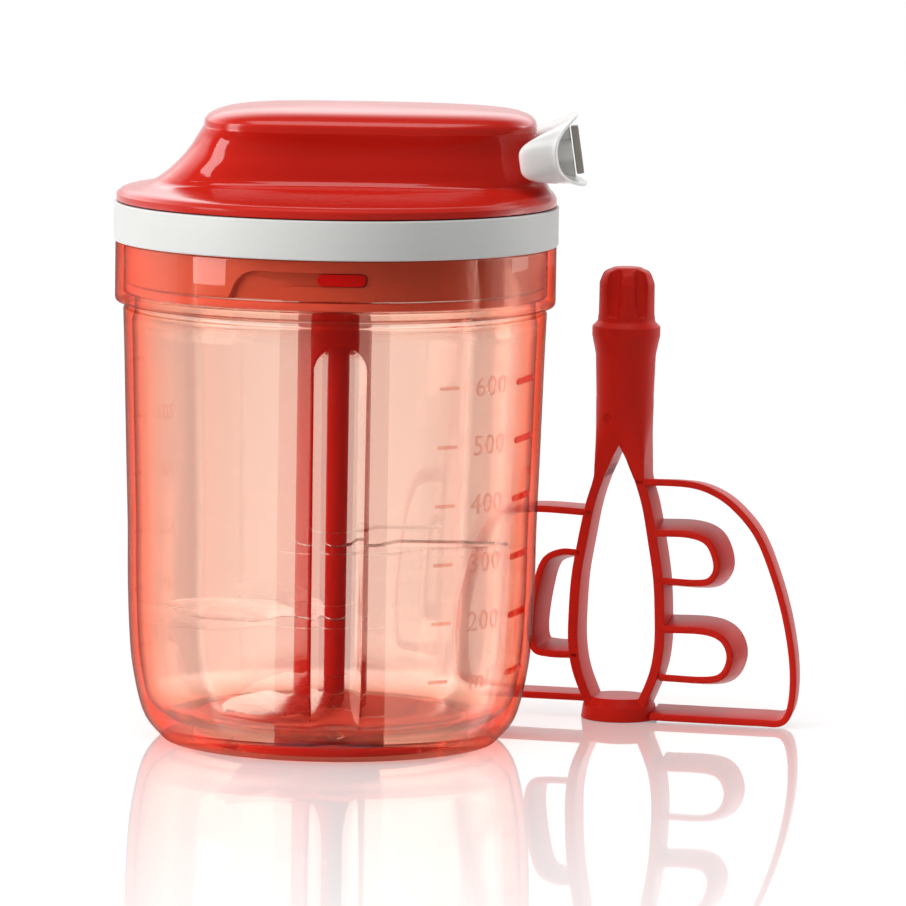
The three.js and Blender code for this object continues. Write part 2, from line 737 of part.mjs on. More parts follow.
// The plate that closes the cover from below, with the skirt that carries the bayonet channels.
function makeBasePlate() {
  const outline = [
    [SHAFT.radius + CLEARANCE, plateBottom],
    [skirtInner, plateBottom],
    [skirtInner, skirtBottom],
    [skirtRadius, skirtBottom],
    [skirtRadius, plateTop],
    [SHAFT.radius + CLEARANCE, plateTop],
  ];
  const depth = LUG.depth + CLEARANCE;
  const inner = collarInner - depth;
  const outer = skirtRadius + OVERRUN;
  const margin = (2 * CLEARANCE) / collarInner;
  const turn = radians(SKIRT.turn);
  const [low, high] = [lugLevel - LUG.height / 2 - CLEARANCE, lugLevel + LUG.height / 2 + CLEARANCE];
  const channels = thirds(FRONT).flatMap((angle) => {
    const [start, end] = [angle - lugAngle - margin, angle + lugAngle + margin];
    return [
      sector(inner, outer, low, high, start - turn, end),
      sector(inner, outer, skirtBottom - OVERRUN, high, start - turn, end - turn),
    ];
  });
  const holes = aroundScrews(() => rod(SCREW.shank + CLEARANCE, plateBottom - OVERRUN, plateTop + OVERRUN));
  add("base_plate", cut(turned(outline), ...channels, ...holes), RED);
}

function makeSeal() {
  const outer = collarInner - 2 * CLEARANCE;
  const outline = [
    [outer - SEAL.width, sealBottom],
    [outer, sealBottom],
    [outer, sealBottom + SEAL.height],
    [outer - SEAL.width, sealBottom + SEAL.height],
  ];
  add("seal_ring", turned(outline), SILICONE);
}

// Drive: shaft, clip, washer and the pawls that catch the shaft's cup one way

function makeDrive() {
  const grooveTop = plateBottom - CLEARANCE / 2;
  const clipBottom = grooveTop - CLEARANCE / 2 - CLIP.thickness;
  const grooveBottom = clipBottom - CLEARANCE;
  const grooveRadius = SHAFT.radius - CLIP.groove;
  const outline = [
    [0, shaftBottom],
    [SHAFT.core, shaftBottom],
    [SHAFT.core, grooveBottom - CLIP.thickness],
    [SHAFT.radius, grooveBottom - CLIP.thickness / 2],
    [SHAFT.radius, grooveBottom],
    [grooveRadius, grooveBottom],
    [grooveRadius, grooveTop],
    [SHAFT.radius, grooveTop],
    [SHAFT.radius, cupBottom],
    [SHAFT.cupRadius, cupBottom],
    [SHAFT.cupRadius, cupTop],
    [SHAFT.cupRadius - SHAFT.cupWall, cupTop],
    [SHAFT.cupRadius - SHAFT.cupWall, cupFloor],
    [0, cupFloor],
  ];
  const fins = thirds(0).map((angle) => {
    const low = [0, -SHAFT.finWidth / 2, shaftBottom];
    const high = [SHAFT.finRadius, SHAFT.finWidth / 2, grooveBottom - CLIP.thickness];
    return block(low, high).rotateZ(angle);
  });
  const bore = rod(boreRadius, shaftBottom + SHAFT.reach - CLEARANCE, cupFloor + OVERRUN);
  add("drive_shaft", cut(join(turned(outline, ROUND.small), ...fins, ...makeTeeth()), bore), WHITE);
  const clip = ring(grooveRadius + CLEARANCE, CLIP.radius, clipBottom, clipBottom + CLIP.thickness);
  const gap = block(
    [0, -grooveRadius / 2, clipBottom - OVERRUN],
    [CLIP.radius + OVERRUN, grooveRadius / 2, clipBottom + CLIP.thickness + OVERRUN],
  );
  add("shaft_clip", cut(clip, gap), STEEL);
  const washer = ring(SHAFT.radius + CLEARANCE, WASHER.radius, washerBottom, washerBottom + WASHER.thickness);
  add("thrust_washer", washer, STEEL);
}

// Saw teeth on the inside of the shaft's cup.
function makeTeeth() {
  const outer = SHAFT.cupRadius - SHAFT.cupWall / 2;
  const inner = SHAFT.cupRadius - SHAFT.cupWall - CUP.toothDepth;
  const step = radians(360) / CUP.teeth;
  return Array.from({ length: CUP.teeth }, (_, i) => {
    const at = (radius, angle) => new THREE.Vector2(radius * Math.cos(angle), radius * Math.sin(angle));
    const start = i * step;
    const shape = new THREE.Shape([at(inner, start), at(outer, start), at(outer, start + step / 2)]);
    const options = { depth: CUP.depth + CUP.floor / 2, bevelEnabled: false };
    return new THREE.ExtrudeGeometry(shape, options).translate(0, 0, cupFloor - CUP.floor / 2);
  });
}

function makePawls() {
  const inner = REEL.hub + CLEARANCE;
  const tip = SHAFT.cupRadius - SHAFT.cupWall - CUP.toothDepth - CLEARANCE;
  const [low, high] = [hubBottom, hubBottom + PAWL.height];
  const arms = thirds(0).map((start) => {
    const half = PAWL.armWidth / 2;
    const spoke = block([inner + PAWL.ring / 2, -half, low], [tip - half, half, high]).rotateZ(start);
    const arm = sector(tip - PAWL.armWidth, tip, low, high, start, start + radians(PAWL.armAngle));
    return join(spoke, arm);
  });
  const collar = ring(inner, inner + PAWL.ring, low, high);
  add("pawl_disc", join(collar, ...arms), WHITE);
}

// Reel, spring and what holds them

function makeMechanismPlate() {
  const top = mechanismPlate + PLATE.thickness;
  const lipInner = bandRadius - BAND.wall - CLEARANCE - COVER.lipWall;
  const rim = lipInner - CLEARANCE;
  const outline = [
    [PLATE.hole, mechanismPlate],
    [rim, mechanismPlate],
    [rim, top],
    [SPRING.cupRadius + SPRING.cupWall, top],
    [SPRING.cupRadius + SPRING.cupWall, springTop],
    [SPRING.cupRadius, springTop],
    [SPRING.cupRadius, top],
    [PLATE.hole, top],
  ];
  const legs = aroundScrews(() => rod(LEG.radius, legBottom, mechanismPlate + PLATE.thickness / 2));
  const holeTop = mechanismPlate - CLEARANCE;
  const holes = aroundScrews(() => rod(SCREW.shank + CLEARANCE, legBottom - OVERRUN, holeTop));
  add("mechanism_plate", cut(join(turned(outline), ...legs), ...holes), GREY);
  const lid = ring(PLATE.hole, SPRING.cupRadius, springTop + CLEARANCE, lidTop);
  add("spring_lid", lid, STEEL);
}

function makeScrews() {
  const headTop = plateBottom - CLEARANCE;
  const headBottom = headTop - SCREW.head;
  const tip = mechanismPlate - 2 * CLEARANCE;
  const outline = [
    [0, headBottom],
    [SCREW.headRadius, headBottom],
    [SCREW.headRadius, headTop],
    [SCREW.shank, headTop],
    [SCREW.shank, tip - SCREW.shank],
    [SCREW.shank / 2, tip],
    [0, tip],
  ];
  const slot = () => {
    const [reach, half] = [SCREW.slotReach, SCREW.slot / 2];
    const [low, high] = [headBottom - OVERRUN, headBottom + SCREW.head / 2];
    return [block([-reach, -half, low], [reach, half, high]), block([-half, -reach, low], [half, reach, high])];
  };
  const make = () => cut(turned(outline, ROUND.small / 2), ...slot());
  aroundScrews(make).forEach((screw, i) => add(`cover_screw_${i + 1}`, screw, STEEL));
}

// The recoil spring: a flat strip on edge, wound from the reel's hub out to its cup.
function makeSpring() {
  const steps = SPRING.turns * ROUND.coil;
  const outer = SPRING.cupRadius - CLEARANCE - SPRING.strip;
  const at = (i, offset) => {
    const radius = mix(SPRING.inner, outer, i / steps) + offset;
    const angle = radians(360) * SPRING.turns * (i / steps);
    return new THREE.Vector2(radius * Math.cos(angle), radius * Math.sin(angle));
  };
  const index = Array.from({ length: steps + 1 }, (_, i) => i);
  const outside = index.map((i) => at(i, SPRING.strip));
  const inside = index.map((i) => at(i, 0)).reverse();
  const shape = new THREE.Shape([...outside, ...inside]);
  const options = { depth: SPRING.height - 2 * CLEARANCE, bevelEnabled: false };
  const strip = new THREE.ExtrudeGeometry(shape, options).translate(0, 0, springBottom + CLEARANCE);
  add("recoil_spring", strip, STEEL);
}

function makeReel() {
  const outline = [
    [boreRadius, hubBottom],
    [REEL.hub, hubBottom],
    [REEL.hub, reelBottom],
    [REEL.flange, reelBottom],
    [REEL.flange, drumBottom],
    [REEL.drum, drumBottom],
    [REEL.drum, drumTop],
    [REEL.hub, drumTop],
    [REEL.hub, hubTop],
    [boreRadius, hubTop],
  ];
  add("reel", turned(outline, ROUND.oval), WHITE);
  const [flangeLow, flangeHigh] = [drumTop + CLEARANCE, drumTop + CLEARANCE + REEL.flangeThickness];
  add("reel_flange", ring(REEL.hub + CLEARANCE, REEL.flange, flangeLow, flangeHigh, ROUND.oval), WHITE);
  const [inner, outer] = [REEL.drum + CLEARANCE, REEL.turnRadius - CORD_DIAMETER / 2 - CLEARANCE];
  add("cord_winding", ring(inner, outer, drumBottom + CLEARANCE, drumTop - CLEARANCE, ROUND.oval), CORD);
  add("reel_axle", rod(AXLE.radius, shaftBottom + SHAFT.reach, axleTop), STEEL);
}

// Cord outlet, cord and grip

const outletX = capRight + COVER.wall / 2; // the cord bends here from level to the pull's own slope

function makeEyelet() {
  const start = outletX - EYELET.length;
  const bore = CORD_DIAMETER / 2 + CLEARANCE;
  const outline = [
    [bore, start - EYELET.flangeThickness],
    [EYELET.flange, start - EYELET.flangeThickness],
    [EYELET.flange, start],
    [EYELET.outer, start],
    [EYELET.outer, outletX],
    [bore, outletX],
  ];
  const eyelet = turned(outline, ROUND.small).rotateY(radians(90));
  add("cord_eyelet", eyelet.translate(0, 0, cordLevel), STEEL);
}

// The run of cord from the reel's last turn through the eyelet to the grip's ferrule. It leaves the reel at
// a tangent, straightens before the eyelet and bends once more where it comes out.
function makeCord() {
  const bend = CORD_DIAMETER;
  const inlet = new THREE.Vector3(outletX - EYELET.length - EYELET.flangeThickness - bend, 0, 0);
  const outlet = new THREE.Vector3(outletX, 0, 0);
  const tangent = Math.acos(REEL.turnRadius / inlet.x);
  const start = new THREE.Vector3(Math.cos(tangent), -Math.sin(tangent), 0).multiplyScalar(REEL.turnRadius);
  const tilt = radians(GRIP.tilt);
  const reach = ferruleStart() - CLEARANCE;
  const end = new THREE.Vector3(outletX + reach * Math.cos(tilt), 0, reach * Math.sin(tilt));
  const from = (corner, other) => corner.clone().addScaledVector(other.clone().sub(corner).normalize(), bend / 2);
  const path = new THREE.CurvePath();
  path.add(new THREE.LineCurve3(start, from(inlet, start)));
  path.add(new THREE.QuadraticBezierCurve3(from(inlet, start), inlet, from(inlet, outlet)));
  path.add(new THREE.LineCurve3(from(inlet, outlet), from(outlet, inlet)));
  path.add(new THREE.QuadraticBezierCurve3(from(outlet, inlet), outlet, from(outlet, end)));
  path.add(new THREE.LineCurve3(from(outlet, end), end));
  const section = new THREE.Shape().absarc(0, 0, CORD_DIAMETER / 2, 0, radians(360), false);
  const options = { extrudePath: path, steps: ROUND.path, curveSegments: ROUND.arc, bevelEnabled: false };
  const cord = new THREE.ExtrudeGeometry(section, options).translate(0, 0, cordLevel);
  add("pull_cord", cord, CORD);
}

const ferruleStart = () => GRIP.gap + GRIP.back + 2 * CLEARANCE;

// One ring of the grip: an oval in width and height, bent round the cover's end.
function gripRing(reach, widthShare, heightShare, powerShare) {
  const halfWidth = widthShare * GRIP.halfWidth;
  const grown = mix(GRIP.backHeight, GRIP.mouthHeight, Math.max(0, heightShare));
  const halfHeight = grown + Math.min(0, heightShare) * GRIP.backHeight;
  const radius = reach + GRIP.bend;
  return Array.from({ length: ROUND.oval }, (_, i) => {
    const angle = radians((360 * i) / ROUND.oval);
    const round = (value) => Math.sign(value) * Math.abs(value) ** powerShare;
    const y = halfWidth * round(Math.cos(angle));
    const back = radius - Math.sqrt(radius ** 2 - y ** 2);
    return new THREE.Vector3(reach - back, y, halfHeight * round(Math.sin(angle)));
  });
}

function makeGrip() {
  const group = new THREE.Group();
  group.position.set(outletX, 0, cordLevel);
  group.rotation.y = -radians(GRIP.tilt);
  root.add(group);

  const mouth = GRIP.gap + GRIP.depth;
  const bottom = GRIP.gap + GRIP.back;
  const rings = GRIP_OUTSIDE_SHARES.map(([depth, ...sizes]) => gripRing(mix(GRIP.gap, mouth, depth), ...sizes));
  const cavity = GRIP_CAVITY_SHARES.map(([depth, ...sizes]) => gripRing(mix(bottom, mouth, depth), ...sizes));
  const body = skinned([...rings, ...cavity]);
  const whole = skinned([...rings, gripRing(mouth, 0, 0, 1)]);
  const floor = bottom - CLEARANCE;
  const webEnd = mouth - GRIP.strip - 2 * CLEARANCE;
  const half = GRIP.web / 2;
  const web = block([floor, -half, -GRIP.mouthHeight], [webEnd, half, GRIP.mouthHeight]);
  const boss = rodAlongX(GRIP.bossRadius, floor, webEnd);
  const inner = common(whole, join(web, boss));
  const cordHole = rodAlongX(CORD_DIAMETER / 2 + CLEARANCE, GRIP.gap - OVERRUN, mouth);
  const pocket = rodAlongX(GRIP.ferruleRadius + CLEARANCE, ferruleStart() - CLEARANCE, mouth + OVERRUN);
  add("pull_grip", cut(join(body, inner), cordHole, pocket), WHITE, group);

  const ferrule = rodAlongX(GRIP.ferruleRadius, ferruleStart(), ferruleStart() + GRIP.ferruleLength);
  add("cord_ferrule", ferrule, STEEL, group);
  const stripHalf = GRIP.stripHeight / 2;
  const strip = block(
    [mouth - GRIP.strip - CLEARANCE, -GRIP.stripWidth / 2, -stripHalf],
    [mouth - CLEARANCE, GRIP.stripWidth / 2, stripHalf],
  );
  add("grip_insert", strip, GREY, group);
}

// Whisk insert

// A bar that follows a line in the plane of the wings. Its back edge stands off to the left of the line by
// the flare.
function makeBar(points, thickness, flare = 0, steps = ROUND.path) {
  const line = new THREE.SplineCurve(points);
  const rings = Array.from({ length: steps + 1 }, (_, i) => {
    const share = i / steps;
    const place = line.getPointAt(share);
    const along = line.getTangentAt(share);
    const left = new THREE.Vector2(-along.y, along.x);
    const at = (side, y) => {
      const offset = side * (thickness / 2) + (y > 0 ? flare : 0);
      const point = place.clone().addScaledVector(left, offset);
      return new THREE.Vector3(point.x, y, point.y);
    };
    const half = WHISK.depth / 2;
    return [at(-1, -half), at(1, -half), at(1, half), at(-1, half)];
  });
  return skinned(capped(rings));
}

function makeWhisk() {
  const scaled = (shares, reach, height) => shares.map(([x, z]) => new THREE.Vector2(x * reach, z * height));
  const right = (shares) => scaled(shares, WHISK.rightReach, WHISK.rightHeight);
  const left = (shares) => scaled(shares, -WHISK.leftReach, WHISK.leftHeight);
  const legs = [-1, 1].map((side) =>
    makeBar(scaled(LEG_SHARES, side * WHISK.legSpread, WHISK.legTop), WHISK.legThickness),
  );
  const bars = [
    makeBar(right(RIGHT_LOOP_SHARES), WHISK.loopThickness, -WHISK.loopFlare),
    makeBar(right(RIGHT_UPPER_SHARES), WHISK.loopThickness, WHISK.flare),
    makeBar(right(RIGHT_LOWER_SHARES), WHISK.loopThickness, WHISK.flare),
    makeBar(left(LEFT_LOOP_SHARES), WHISK.loopThickness),
    makeBar(left(LEFT_INNER_SHARES), WHISK.loopThickness, WHISK.flare),
  ];
  const { height, headBottom, headRadius, skirtRadius, skirtEdge, barrelBottom, barrelRadius } = WHISK;
  const { grooveRadius, grooveDepth, hubBore, hubRadius, hubHeight } = WHISK;
  const barrel = turned(
    [
      ...BARREL_SHARES.map(([out, up]) => [barrelRadius * out, barrelBottom + barrelRadius * up]),
      [skirtRadius, headBottom - skirtEdge],
      [skirtRadius, headBottom],
      [headRadius, headBottom + skirtEdge],
      ...KNOB_SHARES.map(([out, down]) => [headRadius * out, height - headRadius * down]),
      [0, height],
    ],
    ROUND.small,
  );
  const grooves = Array.from({ length: WHISK.grooves }, (_, i) =>
    rod(grooveRadius, headBottom + 2 * skirtEdge, height + OVERRUN, ROUND.small / 2)
      .translate(headRadius + grooveRadius - grooveDepth, 0, 0)
      .rotateZ(radians((360 / WHISK.grooves) * i)),
  );
  const hub = turned(
    [
      [hubBore, 0],
      ...HUB_SHARES.map(([out, up]) => [hubRadius * out, hubHeight * up]),
      [hubBore, hubHeight],
    ],
    ROUND.small,
  );
  const bore = rod(hubBore, -OVERRUN, hubHeight);
  const whole = cut(join(...legs, ...bars, barrel, hub), ...grooves, bore);
  const mesh = add("whisk_insert", whole, RED);
  mesh.position.set(collarRadius + WHISK.gap, WHISK.y, 0);
  mesh.rotation.z = radians(WHISK.turn);
}

makeBowl();
makeBladeColumn();
makeSeal();
makeBasePlate();
makeBand();
makeCoverShell();
makeDrive();
makePawls();
makeMechanismPlate();
makeScrews();
makeSpring();
makeReel();
makeEyelet();
makeCord();
makeGrip();
makeWhisk();

export default root;
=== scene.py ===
"""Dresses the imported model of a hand-pulled food chopper and sets up its studio picture.

The part's own frame is kept: +Z up, +X towards the pull grip, -Y towards the camera. Lengths in the classes
are millimetres, and every mesh is written in metres.
"""
import logging
import math
from dataclasses import dataclass, field
from enum import Enum
from typing import Any, Callable, Iterable, Mapping, Sequence

import bmesh
import bpy
from bpy.types import Material, Mesh, Node, NodeOutputs, NodeSocket, NodeTree, Object
from mathutils import Matrix, Vector


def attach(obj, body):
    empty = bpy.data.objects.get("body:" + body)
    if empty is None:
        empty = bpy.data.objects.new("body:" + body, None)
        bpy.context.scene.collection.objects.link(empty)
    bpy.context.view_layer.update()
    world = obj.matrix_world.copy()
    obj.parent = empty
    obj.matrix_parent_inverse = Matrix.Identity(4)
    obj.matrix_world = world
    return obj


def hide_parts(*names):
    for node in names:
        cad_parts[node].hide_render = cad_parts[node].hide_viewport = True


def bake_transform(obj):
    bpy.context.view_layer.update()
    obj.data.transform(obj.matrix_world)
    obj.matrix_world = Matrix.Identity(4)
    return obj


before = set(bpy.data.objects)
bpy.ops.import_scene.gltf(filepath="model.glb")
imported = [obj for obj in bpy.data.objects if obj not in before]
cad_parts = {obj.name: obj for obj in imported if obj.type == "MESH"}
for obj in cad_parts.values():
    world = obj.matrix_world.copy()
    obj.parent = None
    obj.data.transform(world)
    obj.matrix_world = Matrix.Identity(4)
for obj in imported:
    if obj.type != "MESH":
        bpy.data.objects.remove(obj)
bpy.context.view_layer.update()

LOG = logging.getLogger("food_chopper")
Pair = tuple[float, float]
Triple = tuple[float, float, float]
Colour = tuple[float, float, float]

MM = 0.001  # metres
CREASE = 32.0  # degrees: edges that turn by more stay sharp
DOUBLE = 2e-7  # metres: corners closer than this become one
FRONT = -87.4  # degrees: where the camera's side of the bowl has its flute and a lug
OUTLET = (49.4, 0.0, 143.9)  # millimetres: where the cord leaves the cover
ALONG_X = Matrix.Rotation(math.radians(90), 4, "Y")  # lays an upright piece along X
STANDING = Matrix.Rotation(math.radians(90), 4, "X")  # stands a flat piece up


# Curves and outlines


def smooth(rows: Sequence[Sequence[float]], steps: int = 6) -> list[list[float]]:
    """Gives points of a smooth curve through rows of numbers.

    Args:
        rows: The points, each with as many numbers as the next.
        steps: How many points each interval gets.

    Returns:
        The points of a cubic curve whose speed follows the spacing of the rows.
    """
    places = [0.0]
    for before, after in zip(rows, rows[1:]):
        places.append(places[-1] + math.sqrt(math.dist(before, after)) + 1e-9)

    def slope(i: int) -> list[float]:
        """The curve's speed at a row."""
        low, high = max(0, i - 1), min(len(rows) - 1, i + 1)
        return [(b - a) / (places[high] - places[low]) for a, b in zip(rows[low], rows[high])]

    points = []
    for i in range(len(rows) - 1):
        span = places[i + 1] - places[i]
        start, end = slope(i), slope(i + 1)
        for step in range(steps):
            t = step / steps
            h = (2 * t**3 - 3 * t**2 + 1, t**3 - 2 * t**2 + t, -2 * t**3 + 3 * t**2, t**3 - t**2)
            points.append([
                h[0] * p + h[1] * span * m + h[2] * q + h[3] * span * n
                for p, m, q, n in zip(rows[i], start, rows[i + 1], end)
            ])
    points.append(list(rows[-1]))
    return points


def rounded(corners: Sequence[Triple], closed: bool = True, steps: int = 5) -> list[Pair]:
    """Gives an outline whose corners are rounded.

    Args:
        corners: Each corner's two coordinates and the radius of its rounding.
        closed: Whether the last corner joins the first.
        steps: How many parts a rounding has.

    Returns:
        The outline's points.
    """
    points: list[Pair] = []
    count = len(corners)
    for i, (x, y, radius) in enumerate(corners):
        here = Vector((x, y))
        if radius <= 0 or (not closed and i in (0, count - 1)):
            points.append((x, y))
            continue
        before = Vector(corners[i - 1][:2]) - here
        after = Vector(corners[(i + 1) % count][:2]) - here
        half = before.angle(after) / 2
        most = 0.49  # of a side, so that two roundings never meet
        reach = min(radius / math.tan(half), before.length * most, after.length * most)
        start, end = here + before.normalized() * reach, here + after.normalized() * reach
        for step in range(steps + 1):
            t = step / steps
            spot = start * (1 - t) ** 2 + here * (2 * t * (1 - t)) + end * t**2
            points.append((spot.x, spot.y))
    return points


def table_value(table: Sequence[Sequence[float]], place: float, column: int = 1) -> float:
    """Reads a column of a table at a place between its rows.

    Args:
        table: Rows that start with their places, in rising order.
        place: The place.
        column: Which number of a row is read.

    Returns:
        The number, on a straight line between the rows on both sides of the place.
    """
    if place <= table[0][0]:
        return table[0][column]
    for low, high in zip(table, table[1:]):
        if place <= high[0]:
            share = (place - low[0]) / (high[0] - low[0])
            return low[column] + (high[column] - low[column]) * share
    return table[-1][column]


def eased(share: float) -> float:
    """Rises from 0 to 1 with a soft start and end."""
    share = min(1.0, max(0.0, share))
    return share * share * (3 - 2 * share)


def polar(radius: float, angle: float, height: float) -> Triple:
    """A point at a distance from the vertical axis, a direction in radians and a height."""
    return (radius * math.cos(angle), radius * math.sin(angle), height)


# Meshes


def linked(name: str, data: bpy.types.ID) -> Object:
    """Makes an object from its data and puts it in the scene.

    Args:
        name: The object's name.
        data: A mesh, a text, a camera or a lamp.

    Returns:
        The object.
    """
    made = bpy.data.objects.new(name, data)
    bpy.context.scene.collection.objects.link(made)
    return made


def evaluated(made: Object) -> Mesh:
    """Gives the plain mesh that an object comes to with its modifiers."""
    bpy.context.view_layer.update()
    return bpy.data.meshes.new_from_object(made.evaluated_get(bpy.context.evaluated_depsgraph_get()))


def piece(
    name: str, points: Iterable[Sequence[float]], faces: Iterable[Sequence[int]], crease: float = CREASE,
) -> Object:
    """Makes an object from points in millimetres.

    Args:
        name: The object's name.
        points: The vertices.
        faces: The corners of each face.
        crease: Edges that turn by more degrees than this stay sharp.

    Returns:
        The object, with doubled vertices merged and its faces pointing out.
    """
    mesh = bpy.data.meshes.new(name)
    corners = [[value * MM for value in point] for point in points]
    mesh.from_pydata(corners, [], [list(face) for face in faces])
    made = linked(name, mesh)
    tidy(made, crease)
    return made


def tidy(made: Object, crease: float = CREASE) -> None:
    """Merges an object's doubled vertices, turns its faces out and shades it smooth up to the crease.

    Args:
        made: The object.
        crease: Edges that turn by more degrees than this stay sharp.
    """
    mesh = made.data
    work = bmesh.new()
    work.from_mesh(mesh)
    bmesh.ops.remove_doubles(work, verts=work.verts, dist=DOUBLE)
    bmesh.ops.dissolve_degenerate(work, edges=work.edges, dist=DOUBLE / 2)
    bmesh.ops.recalc_face_normals(work, faces=work.faces)
    work.to_mesh(mesh)
    work.free()
    mesh.shade_smooth()
    mesh.set_sharp_from_angle(angle=math.radians(crease))


def skin(
    name: str, rings: Sequence[Sequence[Sequence[float]]], around: bool = True, crease: float = CREASE,
) -> Object:
    """Makes a surface through rings of points.

    Args:
        name: The object's name.
        rings: Rings with as many points as each other.
        around: Whether the last ring joins the first.
        crease: Edges that turn by more degrees than this stay sharp.

    Returns:
        The object.
    """
    count = len(rings[0])
    points = [point for ring in rings for point in ring]
    faces = []
    for i in range(len(rings) if around else len(rings) - 1):
        low, high = i * count, (i + 1) % len(rings) * count
        for j in range(count):
            k = (j + 1) % count
            faces.append((low + j, low + k, high + k, high + j))
    return piece(name, points, faces, crease)


def capped(name: str, rings: Sequence[Sequence[Sequence[float]]]) -> Object:
    """Makes a closed skin whose first and last rings draw in to their middles.

    Args:
        name: The object's name.
        rings: Rings with as many points as each other.

    Returns:
        The object.
    """
    first, last = (
        [tuple(sum(point[k] for point in ring) / len(ring) for k in range(3))] * len(ring)
        for ring in (rings[0], rings[-1])
    )
    return skin(name, [first, *rings, last], around=False)


def side_faces(count: int) -> list[Sequence[int]]:
    """The faces between two rings of points, of which the second follows the first."""
    return [[i, (i + 1) % count, count + (i + 1) % count, count + i] for i in range(count)]


def turned(name: str, outline: Sequence[Pair], columns: int = 160) -> Object:
    """Turns an outline about the vertical axis into a closed solid.

    Args:
        name: The object's name.
        outline: The radius and height of each point.
        columns: How many points go round.

    Returns:
        The object.
    """
    angles = [math.tau * i / columns for i in range(columns)]
    rings = [[polar(radius, angle, height) for angle in angles] for radius, height in outline]
    return skin(name, rings, around=outline[0][0] > 0 or outline[-1][0] > 0)


def rod(name: str, radius: float, low: float, high: float, edge: float = 0.2, columns: int = 48) -> Object:
    """Makes an upright rod with rounded edges."""
    corners = [(0, low, 0), (radius, low, edge), (radius, high, edge), (0, high, 0)]
    return turned(name, rounded(corners, closed=False, steps=3), columns)


def brick(name: str, low: Sequence[float], high: Sequence[float]) -> Object:
    """Makes a block.

    Args:
        name: The object's name.
        low: The corner with the smallest X, Y and Z.
        high: The opposite corner.

    Returns:
        The object.
    """
    points = [(x, y, z) for x in (low[0], high[0]) for y in (low[1], high[1]) for z in (low[2], high[2])]
    faces = [(0, 1, 3, 2), (4, 6, 7, 5), (0, 4, 5, 1), (2, 3, 7, 6), (0, 2, 6, 4), (1, 5, 7, 3)]
    return piece(name, points, faces)


def settled(made: Object, crease: float = CREASE) -> Object:
    """Turns an object's modifiers into plain mesh.

    Args:
        made: The object.
        crease: Edges that turn by more degrees than this stay sharp.

    Returns:
        The same object, without modifiers.
    """
    baked = evaluated(made)
    made.modifiers.clear()
    old, made.data = made.data, baked
    bpy.data.meshes.remove(old)
    tidy(made, crease)
    return made


class Carving(Enum):
    """What a cutter does to a piece."""

    CUT = "DIFFERENCE"
    ADD = "UNION"
    KEEP = "INTERSECT"


def carved(made: Object, cutters: Iterable[Object], how: Carving = Carving.CUT) -> Object:
    """Carves a piece with cutters, which are used up.

    Args:
        made: The piece.
        cutters: Closed solids.
        how: What each cutter does.

    Returns:
        The piece.
    """
    for cutter in cutters:
        modifier = made.modifiers.new("carving", "BOOLEAN")
        modifier.operation, modifier.solver, modifier.object = how.value, "EXACT", cutter
        settled(made)
        bpy.data.objects.remove(cutter)
    return made


def bevelled(made: Object, width: float, segments: int = 2, angle: float = 40) -> Object:
    """Rounds an object's sharp edges.

    Args:
        made: The object.
        width: The rounding's width in millimetres.
        segments: How many faces cross the rounding.
        angle: Edges that turn by more degrees than this are rounded.

    Returns:
        The same object.
    """
    modifier = made.modifiers.new("edges", "BEVEL")
    modifier.width, modifier.segments = width * MM, segments
    modifier.limit_method, modifier.angle_limit = "ANGLE", math.radians(angle)
    return settled(made)


def joined(name: str, parts: Sequence[Object]) -> Object:
    """Puts several objects' meshes in one object, and removes them.

    Args:
        name: The new object's name.
        parts: The objects.

    Returns:
        The new object.
    """
    work = bmesh.new()
    for part in parts:
        work.from_mesh(part.data)
        bpy.data.objects.remove(part)
    mesh = bpy.data.meshes.new(name)
    work.to_mesh(mesh)
    work.free()
    made = linked(name, mesh)
    tidy(made)
    return made


def moved(made: Object, matrix: Matrix) -> Object:
    """Moves an object's vertices, so that its own place stays at the origin.

    Args:
        made: The object.
        matrix: The move, in millimetres.

    Returns:
        The same object.
    """
    scaled = matrix.copy()
    scaled.translation = matrix.translation * MM
    made.data.transform(scaled)
    made.data.update()
    return made


def turn_about_z(degrees: float) -> Matrix:
    """A turn about the vertical axis."""
    return Matrix.Rotation(math.radians(degrees), 4, "Z")


# Node trees


